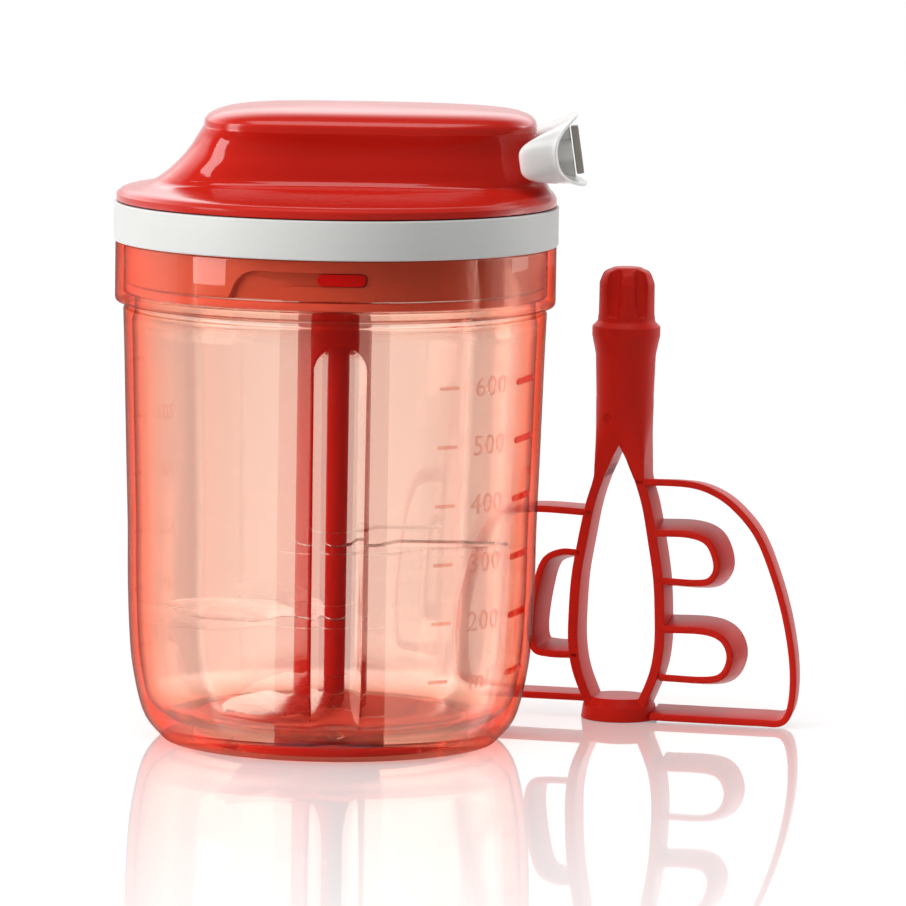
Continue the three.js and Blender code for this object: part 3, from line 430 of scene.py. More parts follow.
class Wiring:
    """A node tree under construction, for geometry or for a shader."""

    def __init__(self, tree: NodeTree) -> None:
        """Starts on a tree."""
        self.tree = tree

    def add(self, kind: str, inputs: Mapping[Any, Any] | None = None, **settings: Any) -> Node:
        """Adds a node.

        Args:
            kind: The node's type.
            inputs: For each socket, by name or number, a value or another node's output socket.
            **settings: The node's own settings.

        Returns:
            The node.
        """
        node = self.tree.nodes.new(kind)
        for key, value in settings.items():
            setattr(node, key, value)
        for key, value in (inputs or {}).items():
            if isinstance(value, NodeSocket):
                self.tree.links.new(value, node.inputs[key])
            else:
                node.inputs[key].default_value = value
        return node

    def maths(self, operation: str, *values: Any) -> NodeSocket:
        """Adds a Math node and gives its output."""
        return self.add("ShaderNodeMath", dict(enumerate(values)), operation=operation).outputs[0]

    def vector(self, operation: str, *values: Any) -> NodeSocket:
        """Adds a Vector Math node and gives its vector."""
        return self.add("ShaderNodeVectorMath", dict(enumerate(values)), operation=operation).outputs[0]

    def scaled(self, vector: Any, scale: Any) -> NodeSocket:
        """Adds a Vector Math node that scales a vector or a colour, and gives its output."""
        return self.add("ShaderNodeVectorMath", {0: vector, "Scale": scale}, operation="SCALE").outputs[0]

    def axes(self, kind: str = "Object") -> NodeOutputs:
        """Gives the X, Y and Z of a texture coordinate."""
        return self.add("ShaderNodeSeparateXYZ", {0: self.add("ShaderNodeTexCoord").outputs[kind]}).outputs

    def ramped(
        self, value: NodeSocket, start: float, end: float, low: float = 0.0, high: float = 1.0,
    ) -> NodeSocket:
        """Adds a Map Range node, from low at the start to high at the end, and gives its output."""
        span = {"From Min": start, "From Max": end, "To Min": low, "To Max": high}
        return self.add("ShaderNodeMapRange", {"Value": value, **span}).outputs[0]

    def bump(self, shader: Node, height: NodeSocket, strength: float, distance: float) -> None:
        """Feeds a shader's normal from a height."""
        node = self.add("ShaderNodeBump", {"Strength": strength, "Distance": distance, "Height": height})
        self.tree.links.new(node.outputs[0], shader.inputs["Normal"])


class Growth:
    """A geometry node tree with named inputs, and the meshes that it makes."""

    SOCKETS = {int: "NodeSocketInt", float: "NodeSocketFloat", Material: "NodeSocketMaterial"}

    def __init__(self, name: str, sizes: Mapping[str, type]) -> None:
        """Starts a tree.

        Args:
            name: The tree's name.
            sizes: The name and type of each input beside the geometry.
        """
        self.tree = bpy.data.node_groups.new(name, "GeometryNodeTree")
        self.tree.interface.new_socket("Geometry", in_out="INPUT", socket_type="NodeSocketGeometry")
        for label, kind in {**sizes, "Finish": Material}.items():
            self.tree.interface.new_socket(label, in_out="INPUT", socket_type=self.SOCKETS[kind])
        self.tree.interface.new_socket("Geometry", in_out="OUTPUT", socket_type="NodeSocketGeometry")
        self.wiring = Wiring(self.tree)
        self.given = self.wiring.add("NodeGroupInput").outputs

    def end(self, geometry: NodeSocket) -> None:
        """Ends the tree: instances become real and take the finish.

        Args:
            geometry: What the tree has made.
        """
        real = self.wiring.add("GeometryNodeRealizeInstances", {"Geometry": geometry}).outputs[0]
        finish = self.given["Finish"]
        dressed = self.wiring.add("GeometryNodeSetMaterial", {"Geometry": real, "Material": finish})
        self.wiring.add("NodeGroupOutput", {"Geometry": dressed.outputs[0]})

    def grow(self, source: Object, finish: Material | None = None, **sizes: float) -> Object:
        """Runs the tree on an object.

        Args:
            source: The object, whose mesh the result replaces.
            finish: The material, or none for a cutter.
            **sizes: The inputs, with _ in place of a space in their names.

        Returns:
            The object.
        """
        modifier = source.modifiers.new("growth", "NODES")
        modifier.node_group = self.tree
        values = {name.replace("_", " "): value for name, value in sizes.items()}
        for item in self.tree.interface.items_tree:
            if item.in_out == "INPUT" and item.name in values:
                modifier[item.identifier] = values[item.name]
            if item.in_out == "INPUT" and item.name == "Finish" and finish:
                modifier[item.identifier] = finish
        return settled(source)


def ring_of_copies() -> Growth:
    """Makes the tree that sets copies of a shape round the vertical axis.

    Returns:
        The tree, with Count copies and the first turned by Start radians.
    """
    growth = Growth("ring_of_copies", {"Count": int, "Start": float})
    wiring, given = growth.wiring, growth.given
    line = wiring.add("GeometryNodeMeshLine", {"Count": given["Count"], "Offset": (0, 0, 0)})
    step = wiring.maths("DIVIDE", math.tau, given["Count"])
    index = wiring.add("GeometryNodeInputIndex").outputs[0]
    angle = wiring.maths("ADD", wiring.maths("MULTIPLY", index, step), given["Start"])
    rotation = wiring.add("ShaderNodeCombineXYZ", {"Z": angle})
    copies = wiring.add("GeometryNodeInstanceOnPoints", {
        "Points": line.outputs[0], "Instance": given["Geometry"], "Rotation": rotation.outputs[0],
    })
    growth.end(copies.outputs[0])
    return growth


def row_of_copies() -> Growth:
    """Makes the tree that sets copies of a shape above each other.

    Returns:
        The tree, with Count copies at a distance of Step metres.
    """
    growth = Growth("row_of_copies", {"Count": int, "Step": float})
    wiring, given = growth.wiring, growth.given
    offset = wiring.add("ShaderNodeCombineXYZ", {"Z": given["Step"]})
    line = wiring.add("GeometryNodeMeshLine", {"Count": given["Count"], "Offset": offset.outputs[0]})
    copies = wiring.add("GeometryNodeInstanceOnPoints", {
        "Points": line.outputs[0], "Instance": given["Geometry"],
    })
    growth.end(copies.outputs[0])
    return growth


def bar_on_path() -> Growth:
    """Makes the tree that runs a flat bar with rounded edges along a path in the XY plane.

    Returns:
        The tree. The bar is as deep as Depth along Z, and its lower side stands off to the left of the path
        by Flare.
    """
    growth = Growth("bar_on_path", {"Thickness": float, "Depth": float, "Flare": float, "Edge": float})
    wiring, given = growth.wiring, growth.given
    curve = wiring.add("GeometryNodeMeshToCurve", {"Mesh": given["Geometry"]})
    upright = wiring.add("GeometryNodeSetCurveNormal", {"Curve": curve.outputs[0]}, mode="Z_UP")
    tangent = wiring.add("GeometryNodeInputTangent").outputs[0]
    keep = wiring.add("GeometryNodeCaptureAttribute")
    keep.capture_items.new("VECTOR", "Direction")
    wiring.tree.links.new(upright.outputs[0], keep.inputs[0])
    wiring.tree.links.new(tangent, keep.inputs["Direction"])
    box = wiring.add("GeometryNodeCurvePrimitiveQuadrilateral", {
        "Width": given["Thickness"], "Height": given["Depth"],
    })
    soft = wiring.add("GeometryNodeFilletCurve", {
        "Curve": box.outputs[0], "Radius": given["Edge"], "Count": 3,
    }, mode="POLY")
    bar = wiring.add("GeometryNodeCurveToMesh", {
        "Curve": keep.outputs[0], "Profile Curve": soft.outputs[0], "Fill Caps": True,
    })
    left = wiring.vector("CROSS_PRODUCT", (0, 0, 1), keep.outputs["Direction"])
    place = wiring.add("GeometryNodeInputPosition").outputs[0]
    height = wiring.add("ShaderNodeSeparateXYZ", {0: place}).outputs["Z"]
    share = wiring.maths("SUBTRACT", 0.5, wiring.maths("DIVIDE", height, given["Depth"]))
    shift = wiring.scaled(left, wiring.maths("MULTIPLY", share, given["Flare"]))
    flared = wiring.add("GeometryNodeSetPosition", {"Geometry": bar.outputs[0], "Offset": shift})
    growth.end(flared.outputs[0])
    return growth


# Finishes


def shader_group(
    name: str, inputs: Mapping[str, float], outputs: Sequence[str],
) -> tuple[Wiring, NodeOutputs, Node]:
    """Starts a shader node group with named values in and out.

    Args:
        name: The group's name.
        inputs: Each input's name and first value.
        outputs: The outputs' names.

    Returns:
        The wiring, the group's inputs and its output node.
    """
    tree = bpy.data.node_groups.new(name, "ShaderNodeTree")
    for label, value in inputs.items():
        tree.interface.new_socket(label, in_out="INPUT", socket_type="NodeSocketFloat").default_value = value
    for label in outputs:
        tree.interface.new_socket(label, in_out="OUTPUT", socket_type="NodeSocketFloat")
    wiring = Wiring(tree)
    return wiring, wiring.add("NodeGroupInput").outputs, wiring.add("NodeGroupOutput")


def mould_grain() -> NodeTree:
    """Makes the fine grain of a moulded surface, and the slow drift of its gloss and tone.

    Returns:
        The group.
    """
    sizes = {"Scale": 900.0, "Drift": 1.0}
    wiring, given, out = shader_group("mould_grain", sizes, ("Height", "Gloss", "Tone"))
    place = wiring.add("ShaderNodeTexCoord").outputs["Object"]
    fine = wiring.add("ShaderNodeTexNoise", {"Vector": place, "Scale": given["Scale"], "Detail": 3.0})
    slow = wiring.add("ShaderNodeTexNoise", {"Vector": place, "Scale": 38.0, "Detail": 2.0})
    drift = wiring.maths("MULTIPLY", wiring.maths("SUBTRACT", slow.outputs[0], 0.5), given["Drift"])
    links = wiring.tree.links
    links.new(fine.outputs[0], out.inputs["Height"])
    links.new(drift, out.inputs["Gloss"])
    links.new(wiring.maths("ADD", 1.0, wiring.maths("MULTIPLY", drift, 0.12)), out.inputs["Tone"])
    return wiring.tree


def brush_lines() -> NodeTree:
    """Makes fine parallel scratches, as on brushed steel.

    Returns:
        The group.
    """
    wiring, given, out = shader_group("brush_lines", {"Scale": 1.0}, ("Height", "Gloss"))
    place = wiring.add("ShaderNodeTexCoord").outputs["Object"]
    drawn = wiring.add("ShaderNodeMapping", {"Vector": place, "Scale": (120.0, 3200.0, 3200.0)})
    lines = wiring.add("ShaderNodeTexNoise", {
        "Vector": drawn.outputs[0], "Scale": given["Scale"], "Detail": 2.0,
    })
    links = wiring.tree.links
    links.new(lines.outputs[0], out.inputs["Height"])
    links.new(wiring.maths("SUBTRACT", lines.outputs[0], 0.5), out.inputs["Gloss"])
    return wiring.tree


class Groups:
    """The shader node groups that several finishes share, each built once."""

    _built: dict[str, NodeTree] = {}

    @classmethod
    def get(cls, make: Callable[[], NodeTree]) -> NodeTree:
        """Gives a group, built on its first use.

        Args:
            make: The function that builds it.

        Returns:
            The group.
        """
        if make.__name__ not in cls._built:
            cls._built[make.__name__] = make()
        return cls._built[make.__name__]


def new_material(name: str) -> tuple[Material, Wiring, Node, Node]:
    """Starts a material.

    Args:
        name: The material's name.

    Returns:
        The material, its wiring, its Principled shader and its output node.
    """
    material = bpy.data.materials.new(name)
    material.use_nodes = True
    nodes = material.node_tree.nodes
    nodes.clear()
    wiring = Wiring(material.node_tree)
    shader = wiring.add("ShaderNodeBsdfPrincipled")
    out = wiring.add("ShaderNodeOutputMaterial", {"Surface": shader.outputs[0]})
    return material, wiring, shader, out


def moulded(
    wiring: Wiring, shader: Node, colour: Colour, grain: float, drift: float, relief: float,
    distance: float,
) -> NodeOutputs:
    """Feeds a shader's colour and normal from the grain of a mould.

    Args:
        wiring: The material's wiring.
        shader: Its shader.
        colour: The mean colour.
        grain: The scale of the grain.
        drift: How much the tone and the gloss wander.
        relief: The strength of the grain.
        distance: The depth of the grain in metres.

    Returns:
        The outputs of the grain's group.
    """
    group = wiring.add("ShaderNodeGroup", node_tree=Groups.get(mould_grain))
    group.inputs["Scale"].default_value = grain
    group.inputs["Drift"].default_value = drift
    tint = wiring.add("ShaderNodeRGB")
    tint.outputs[0].default_value = (*colour, 1)
    toned = wiring.scaled(tint.outputs[0], group.outputs["Tone"])
    wiring.tree.links.new(toned, shader.inputs["Base Color"])
    wiring.bump(shader, group.outputs["Height"], relief, distance)
    return group.outputs


@dataclass(frozen=True)
class MouldedPlastic:
    """An opaque moulded plastic, from satin to glossy."""

    name: str
    colour: Colour
    roughness: float = 0.3
    grain: float = 900.0
    relief: float = 0.05
    drift: float = 0.5
    specular: float = 0.25
    gloss_drift: float = 0.12
    grain_depth: float = 0.0002

    def gloss(self, wiring: Wiring, drift: NodeSocket) -> NodeSocket:
        """Roughness over the surface."""
        return wiring.maths("MULTIPLY_ADD", drift, self.gloss_drift, self.roughness)

    def make(self) -> Material:
        """Builds the material.

        Returns:
            The material.
        """
        material, wiring, shader, _ = new_material(self.name)
        grain = moulded(wiring, shader, self.colour, self.grain, self.drift, self.relief, self.grain_depth)
        wiring.tree.links.new(self.gloss(wiring, grain["Gloss"]), shader.inputs["Roughness"])
        shader.inputs["Specular IOR Level"].default_value = self.specular
        return material


@dataclass(frozen=True)
class CoverPlastic(MouldedPlastic):
    """The cover's plastic: satin, but polished in the hollow at its front and back."""

    polished: float = 0.07
    low: float = 136.0
    high: float = 149.8
    right: float = 41.0
    spread: float = 0.36

    def gloss(self, wiring: Wiring, drift: NodeSocket) -> NodeSocket:
        """Roughness over the surface, lower in the hollows.

        Args:
            wiring: The material's wiring.
            drift: The slow drift of the gloss.

        Returns:
            The roughness.
        """
        place = wiring.axes()
        across = wiring.maths("ABSOLUTE", place["Y"])
        aside = wiring.maths("MULTIPLY", wiring.maths("ABSOLUTE", place["X"]), self.spread)
        mask = None
        for value, start, end in (
            (wiring.maths("SUBTRACT", across, aside), 0.0, 0.6), (place["Z"], self.low - 0.6, self.low),
            (place["Z"], self.high + 0.5, self.high), (place["X"], self.right + 3, self.right - 3),
        ):
            step = wiring.ramped(value, start * MM, end * MM)
            mask = wiring.maths("MULTIPLY", mask, step) if mask else step
        satin = super().gloss(wiring, drift)
        return wiring.maths("MULTIPLY_ADD", mask, wiring.maths("SUBTRACT", self.polished, satin), satin)


@dataclass(frozen=True)
class ClearPlastic:
    """A clear tinted plastic with a real wall: the tint deepens with the way through it."""

    name: str
    tint: Colour
    absorbed: Colour
    density: float
    sheen: Colour = (1.0, 0.85, 0.8)
    index: float = 1.49
    grain: float = 60.0
    drift: float = 0.3
    relief: float = 0.02
    grain_depth: float = 0.0001
    slanting: Colour = (1.0, 0.80, 0.72)
    grazing: Colour = (0.5, 0.24, 0.22)
    stops: Triple = (0.25, 0.74, 0.9)
    bending: Pair = (0.26, 0.7)
    straight: Pair = (0.25, 0.88)

    def at_edges(self, wiring: Wiring, clear: NodeSocket) -> NodeSocket:
        """Lets light that grazes the wall straight through, in a deeper red.

        Args:
            wiring: The material's wiring.
            clear: The clear shader.

        Returns:
            The clear shader mixed with one that lets light straight through.
        """
        facing = wiring.add("ShaderNodeLayerWeight", {"Blend": 0.5}).outputs["Facing"]
        ramp = wiring.add("ShaderNodeValToRGB", {"Fac": facing})
        first, second = ramp.color_ramp.elements
        first.position, first.color = self.stops[0], (*self.tint, 1)
        second.position, second.color = self.stops[1], (*self.slanting, 1)
        ramp.color_ramp.elements.new(self.stops[2]).color = (*self.grazing, 1)
        through = wiring.add("ShaderNodeBsdfTransparent", {"Color": ramp.outputs[0]})
        share = wiring.ramped(facing, *self.bending, *self.straight)
        return wiring.add("ShaderNodeMixShader", {0: share, 1: clear, 2: through.outputs[0]}).outputs[0]

    def make(self) -> Material:
        """Builds the material.

        Returns:
            The material.
        """
        material, wiring, shader, out = new_material(self.name)
        moulded(wiring, shader, self.tint, self.grain, self.drift, self.relief, self.grain_depth)
        shader.inputs["Roughness"].default_value = 0.0
        shader.inputs["IOR"].default_value = self.index
        shader.inputs["Specular Tint"].default_value = (*self.sheen, 1)
        shader.inputs["Transmission Weight"].default_value = 1.0
        light = wiring.add("ShaderNodeLightPath")
        passing = wiring.add("ShaderNodeBsdfTransparent", {"Color": (*self.tint, 1)})
        mix = wiring.add("ShaderNodeMixShader", {
            0: light.outputs["Is Shadow Ray"], 1: self.at_edges(wiring, shader.outputs[0]),
            2: passing.outputs[0],
        })
        wiring.tree.links.new(mix.outputs[0], out.inputs["Surface"])
        absorbed = {"Color": (*self.absorbed, 1), "Density": self.density}
        depth = wiring.add("ShaderNodeVolumeAbsorption", absorbed)
        wiring.tree.links.new(depth.outputs[0], out.inputs["Volume"])
        return material


@dataclass(frozen=True)
class BrushedSteel:
    """Steel with fine brush lines."""

    name: str
    colour: Colour = (0.86, 0.86, 0.87)
    roughness: float = 0.28
    gloss_drift: float = 0.25
    relief: float = 0.012
    grain_depth: float = 0.00005

    def make(self) -> Material:
        """Builds the material.

        Returns:
            The material.
        """
        material, wiring, shader, _ = new_material(self.name)
        brush = wiring.add("ShaderNodeGroup", node_tree=Groups.get(brush_lines))
        shader.inputs["Base Color"].default_value = (*self.colour, 1)
        shader.inputs["Metallic"].default_value = 1.0
        gloss = wiring.maths("MULTIPLY_ADD", brush.outputs["Gloss"], self.gloss_drift, self.roughness)
        wiring.tree.links.new(gloss, shader.inputs["Roughness"])
        wiring.bump(shader, brush.outputs["Height"], self.relief, self.grain_depth)
        return material


@dataclass(frozen=True)
class BraidedCord:
    """A braided cord: two sets of strands that cross."""

    name: str
    colour: Colour = (0.8, 0.79, 0.76)
    lean: Triple = (0.6, 0.5, 0.9)
    strands: float = 480.0
    shade: float = 0.6

    def make(self) -> Material:
        """Builds the material.

        Returns:
            The material.
        """
        material, wiring, shader, _ = new_material(self.name)
        place = wiring.add("ShaderNodeTexCoord").outputs["Object"]
        waves = []
        for sign in (1, -1):
            lean = tuple(angle * sign for angle in self.lean)
            laid = wiring.add("ShaderNodeMapping", {"Vector": place, "Rotation": lean})
            wave = wiring.add("ShaderNodeTexWave", {
                "Vector": laid.outputs[0], "Scale": self.strands, "Distortion": 0.4,
            })
            waves.append(wave.outputs["Fac"])
        braid = wiring.maths("MAXIMUM", *waves)
        ramp = wiring.add("ShaderNodeValToRGB", {"Fac": braid})
        ramp.color_ramp.elements[0].color = (*[self.shade * value for value in self.colour], 1)
        ramp.color_ramp.elements[1].color = (*self.colour, 1)
        wiring.tree.links.new(ramp.outputs[0], shader.inputs["Base Color"])
        shader.inputs["Roughness"].default_value = 0.85
        wiring.bump(shader, braid, 0.5, 0.0002)
        return material


class Finish(Enum):
    """Every finish on the chopper."""

    CLEAR_RED = ClearPlastic("clear_red_plastic", (0.998, 0.935, 0.90), (0.985, 0.56, 0.38), 175.0)
    MARK = ClearPlastic("raised_figures", (0.98, 0.80, 0.74), (0.95, 0.4, 0.3), 400.0)
    TICK = ClearPlastic("raised_ticks", (0.96, 0.62, 0.54), (0.95, 0.4, 0.3), 4000.0)
    COVER_RED = CoverPlastic("cover_red", (0.62, 0.019, 0.010), 0.2, relief=0.03, specular=0.45)
    COLUMN_RED = MouldedPlastic("column_red", (0.42, 0.010, 0.006), 0.22, specular=0.05)
    PLATE_RED = MouldedPlastic("plate_red", (0.62, 0.12, 0.065), 0.4)
    LUG_RED = MouldedPlastic("lug_red", (0.62, 0.004, 0.004), 0.3, specular=0.05)
    WHISK_RED = MouldedPlastic("whisk_red", (0.62, 0.020, 0.011), 0.4, relief=0.08, specular=0.1)
    PAD_CORAL = MouldedPlastic("pad_coral", (0.8, 0.12, 0.075), 0.7, relief=0.25)
    SEAL_CORAL = MouldedPlastic("seal_coral", (0.72, 0.14, 0.09), 0.6)
    BAND_WHITE = MouldedPlastic("band_white", (0.74, 0.74, 0.72), 0.42, grain=1500.0, relief=0.25, drift=0.3)
    GRIP_WHITE = MouldedPlastic("grip_white", (0.86, 0.85, 0.83), 0.2, relief=0.02, specular=0.4)
    INNER_WHITE = MouldedPlastic("inner_white", (0.72, 0.71, 0.68), 0.35)
    STRIP_GREY = MouldedPlastic("strip_grey", (0.42, 0.38, 0.33), 0.5, relief=0.2)
    STEEL = BrushedSteel("brushed_steel")
    CORD = BraidedCord("pull_cord_braid")

    def material(self) -> Material:
        """Gives the finish's material, built on its first use."""
        return bpy.data.materials.get(self.value.name) or self.value.make()


def dress(made: Object, finish: Finish, body: str, replaced: Sequence[str] = ()) -> Object:
    """Gives a piece its finish and its body, and hides the imported nodes that it stands for.

    Args:
        made: The piece.
        finish: Its finish.
        body: The body that it rides on, or nothing for a piece between two bodies.
        replaced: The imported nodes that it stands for.

    Returns:
        The piece.
    """
    made.data.materials.clear()
    made.data.materials.append(finish.material())
    if body:
        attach(made, body)
    if replaced:
        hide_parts(*replaced)
    LOG.info("%s: %d faces on %s", made.name, len(made.data.polygons), body or "two bodies")
    return made


def repaint(node: str, finish: Finish) -> None:
    """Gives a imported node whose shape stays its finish.

    Args:
        node: The node's name.
        finish: Its finish.
    """
    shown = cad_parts[node]
    shown.data.materials.clear()
    shown.data.materials.append(finish.material())
    LOG.info("%s: kept from the packed model", node)


# The chopper's own assemblies


@dataclass(frozen=True)
class Scale:
    """One scale moulded on the bowl: a tick for each mark, figures beside the marks, or both."""

    name: str
    finish: Finish
    azimuth: float
    proud: float
    tick: tuple[float, float, float, float]
    size: float = 0.0
    figures: Sequence[str] = ()


@dataclass
class Bowl:
    """The clear bowl with its scale, its pad and its lugs."""

    copies: Growth
    rows: Growth
    shoulder: float = 107.0
    rim: float = 121.5
    body_radius: float = 51.7
    collar_radius: float = 53.75
    collar_inner: float = 51.65
    wall: float = 2.1
    floor: float = 5.3
    ledge_top: float = 109.2
    ledge_radius: float = 48.9
    ledge_foot: float = 104.6
    inside_top: float = 102.0
    corner: float = 6.0
    floor_radius: float = 40.0
    boss: Triple = (6.6, 6.0, 0.8)
    pin_hole: Pair = (1.8, 3.3)
    pin: Triple = (1.5, 3.6, 22.0)
    pad_radius: float = 33.5
    pad_thickness: float = 1.7
    pad_gap: float = 0.3
    pad_edge: float = 0.5
    grain_disc: Triple = (6.8, -0.05, 0.2)
    flute_radius: float = 11.1
    flute_top: float = 101.0
    flute_depth: float = 1.7
    flute_foot: Pair = (3.0, 18.0)
    flute_columns: tuple[int, float] = (40, 0.2)
    bead: Pair = (0.9, 0.22)
    groove: Triple = (105.3, 106.7, 50.5)
    marks: Pair = (19.8, 14.2)
    lug: Triple = (5.75, 1.4, 117.0)
    lug_depth: Triple = (51.6, 50.4, 50.15)
    figure_middle: float = -1.4
    scales: Sequence[Scale] = (
        Scale("scale_right", Finish.MARK, -40.0, 0.25, (-17.5, 5.5, 0.8, 0.0), 6.9,
              ("ml", "200", "300", "400", "500", "600")),
        Scale("scale_ticks", Finish.TICK, -40.0, 0.35, (8.8, 9.6, 1.5, 0.06)),
        Scale("scale_left", Finish.MARK, 150.0, 0.1, (9.0, 6.0, 0.6, 0.0), 5.4, ("4", "8", "12", "16", "20")),
    )
    shares: Sequence[Pair] = (
        (0, 0.793), (0.0355, 0.861), (0.0701, 0.896), (0.139, 0.93), (0.208, 0.95), (0.346, 0.964),
        (0.486, 0.968), (0.626, 0.977), (0.766, 0.9855), (0.885, 0.9925), (0.985, 1.0),
    )
    curve: list[list[float]] = field(init=False)

    def __post_init__(self) -> None:
        """Works out the smooth outside of the body as height and radius."""
        rows = [(share * self.shoulder, radius * self.body_radius) for share, radius in self.shares]
        self.curve = smooth(rows, 12)

    def radius_at(self, height: float) -> float:
        """Outside radius of the body at a height, with the flutes left out."""
        return table_value(self.curve, height)

    def off_flute(self, degrees: float) -> float:
        """How far a direction is turned from the nearest flute, in degrees."""
        return (degrees - FRONT + 90) % 180 - 90

    def flute(self, angle: float, height: float) -> float:
        """How far a flute pushes the wall's outside in at a place.

        Args:
            angle: The direction, in radians.
            height: The height of the place.

        Returns:
            The depth of the groove, or minus the rise of the bead along its edge.
        """
        radius, depth = self.flute_radius, self.flute_depth
        half = math.sqrt(radius**2 - (radius - depth) ** 2)
        sideways = math.radians(self.off_flute(math.degrees(angle))) * self.body_radius
        away = math.hypot(sideways, max(0.0, height - (self.flute_top - half)))
        low, high = self.flute_foot
        foot = eased((height - low) / (high - low))
        width, rise = self.bead
        if away < half:
            return foot * (math.sqrt(radius**2 - away**2) - (radius - depth))
        return -foot * rise * math.sin(math.pi * (away - half) / width) ** 2 if away < half + width else 0.0

    def angles(self) -> list[float]:
        """Directions of the bowl's columns of points, closer together across the flutes.

        Returns:
            The directions in radians, in rising order.
        """
        wide_step = 2.4
        count, step = self.flute_columns
        close = [FRONT + side + offset * step for side in (0, 180) for offset in range(-count, count + 1)]
        wide = [i * wide_step for i in range(int(360 / wide_step))]
        clear = [angle for angle in wide if abs(self.off_flute(angle)) > count * step + wide_step / 3]
        return sorted(math.radians(angle % 360) for angle in close + clear)

    def plain(self, points: Iterable[Pair]) -> list[tuple[float, float, bool]]:
        """Marks points of the wall's outline as free of flutes."""
        return [(radius, height, False) for radius, height in points]

    def outline(self) -> list[tuple[float, float, bool]]:
        """The wall's outline, from the middle of its underside round the rim to the pin's hole.

        Returns:
            For each point the radius, the height, and whether the flutes show there.
        """
        recess, ceiling = self.pad_radius + self.pad_gap, self.pad_thickness + self.pad_gap
        foot = self.curve[0][1] - 1
        outline = self.plain([(0.0, ceiling), (recess, ceiling)])
        outline += self.plain(rounded([(recess, 1.0, 0), (recess, 0.0, 0.3), (foot, 0.0, 0)], False, 3))
        heights = [0.0, 0.4, 0.9, 1.6, 2.5, 3.6]
        heights += [5 + 2.0 * i for i in range(44)] + [93 + 0.35 * i for i in range(36)]
        low, high, groove = self.groove
        below = low - 0.6
        outline += [(self.radius_at(z), z, True) for z in heights if z < below]
        outline += self.plain(rounded([
            (self.radius_at(below), below, 0), (self.radius_at(low), low, 0.5), (groove, low + 0.3, 0.4),
            (groove, high, 0.4), (self.collar_radius, self.shoulder, 1.2),
            (self.collar_radius, self.rim, 0.4), (self.collar_inner, self.rim, 0.3),
            (self.collar_inner, self.ledge_top, 0.4),
            (self.ledge_radius, self.ledge_top, 0.8), (self.ledge_radius, self.ledge_foot, 1.5),
            (self.radius_at(self.inside_top) - self.wall, self.inside_top, 0),
        ], False, 6))
        corner_top = self.floor + self.corner - 0.5
        inner = [z for z in (self.inside_top - 2.0 * i for i in range(1, 47)) if z > corner_top]
        outline += self.plain((self.radius_at(z) - self.wall, z) for z in inner)
        for angle in (math.radians(9 * i) for i in range(11)):
            inward, up = self.corner * (1 - math.cos(angle)), self.corner * (1 - math.sin(angle))
            height = self.floor + up
            outline.append((self.radius_at(height) - self.wall - inward, height, False))
        (boss_foot, boss_top, rise), (hole, hole_floor) = self.boss, self.pin_hole
        top = self.floor + rise
        outline += self.plain(rounded([
            (self.floor_radius, self.floor, 0), (boss_foot, self.floor, 0.8), (boss_top, top, 0.4),
            (hole, top, 0.2), (hole, hole_floor, 0), (0.0, hole_floor, 0),
        ], False, 4))
        return outline

    def wall_piece(self) -> Object:
        """Makes the bowl itself.

        Returns:
            The bowl, with its wall.
        """
        angles = self.angles()
        rings = [
            [polar(radius - (self.flute(angle, height) if flute else 0.0), angle, height) for angle in angles]
            for radius, height, flute in self.outline()
        ]
        return skin("bowl_wall", rings, around=False, crease=40)

    def wrapped(self, flat: Object, azimuth: float, proud: float) -> Object:
        """Bends a flat relief round the body: its X becomes the way round and its Y the height.

        Args:
            flat: The relief.
            azimuth: The direction of its middle, in degrees.
            proud: How far it stands off the wall.

        Returns:
            The same object.
        """
        sunk = 0.03
        for vertex in flat.data.vertices:
            along, height, out = (value / MM for value in vertex.co)
            radius = self.radius_at(height)
            angle = math.radians(azimuth) + along / radius
            vertex.co = Vector(polar(radius + (proud if out > 0 else sunk), angle, height)) * MM
        tidy(flat)
        return flat

    def tick(self, left: float, width: float, thick: float, slant: float) -> Object:
        """Makes a flat tick with round ends, cut in short lengths so that it can bend.

        Args:
            left: Where it starts, on the way round the bowl.
            width: Its length.
            thick: Its height.
            slant: How much it rises for each millimetre to the right.

        Returns:
            The tick.
        """
        longest = 0.7
        half, run = thick / 2, width - thick
        start, end = left + half, left + width - half
        across = max(6, int(width / longest))
        steps = range(across + 1)
        outline = [(start + run * i / across, -half) for i in steps]
        outline += [(end + half * math.cos(a), half * math.sin(a)) for a in (-0.9, 0, 0.9)]
        outline += [(end - run * i / across, half) for i in steps]
        outline += [(start - half * math.cos(a), half * math.sin(a)) for a in (0.9, 0, -0.9)]
        count = len(outline)
        points = [(x, y + slant * (x - left), z) for z in (0.0, 1.0) for x, y in outline]
        faces = side_faces(count)
        lower, upper = list(steps), list(range(across + 4, 2 * across + 5))[::-1]
        for i in range(across):
            faces.append([lower[i], upper[i], upper[i + 1], lower[i + 1]])
            faces.append([count + v for v in (lower[i], lower[i + 1], upper[i + 1], upper[i])])
        right, back = list(range(across, across + 5)), [(2 * across + 4 + k) % count for k in range(5)]
        for cap in (right, back):
            faces.append(cap[::-1])
            faces.append([count + v for v in cap])
        return piece("tick", points, faces)

    def figure(self, text: str, size: float, height: float) -> Object:
        """Makes flat raised figures.

        Args:
            text: The figures.
            size: Their size.
            height: The height of their feet.

        Returns:
            The figures.
        """
        curve = bpy.data.curves.new("figure", "FONT")
        curve.body, curve.size, curve.extrude = text, size * MM, 0.5 * MM
        curve.resolution_u, curve.align_x, curve.space_character = 3, "CENTER", 1.12
        drawn = linked("figure", curve)
        mesh = evaluated(drawn)
        bpy.data.objects.remove(drawn)
        mesh.transform(Matrix.Translation((self.figure_middle * MM, height * MM, 0)))
        return linked("figure", mesh)

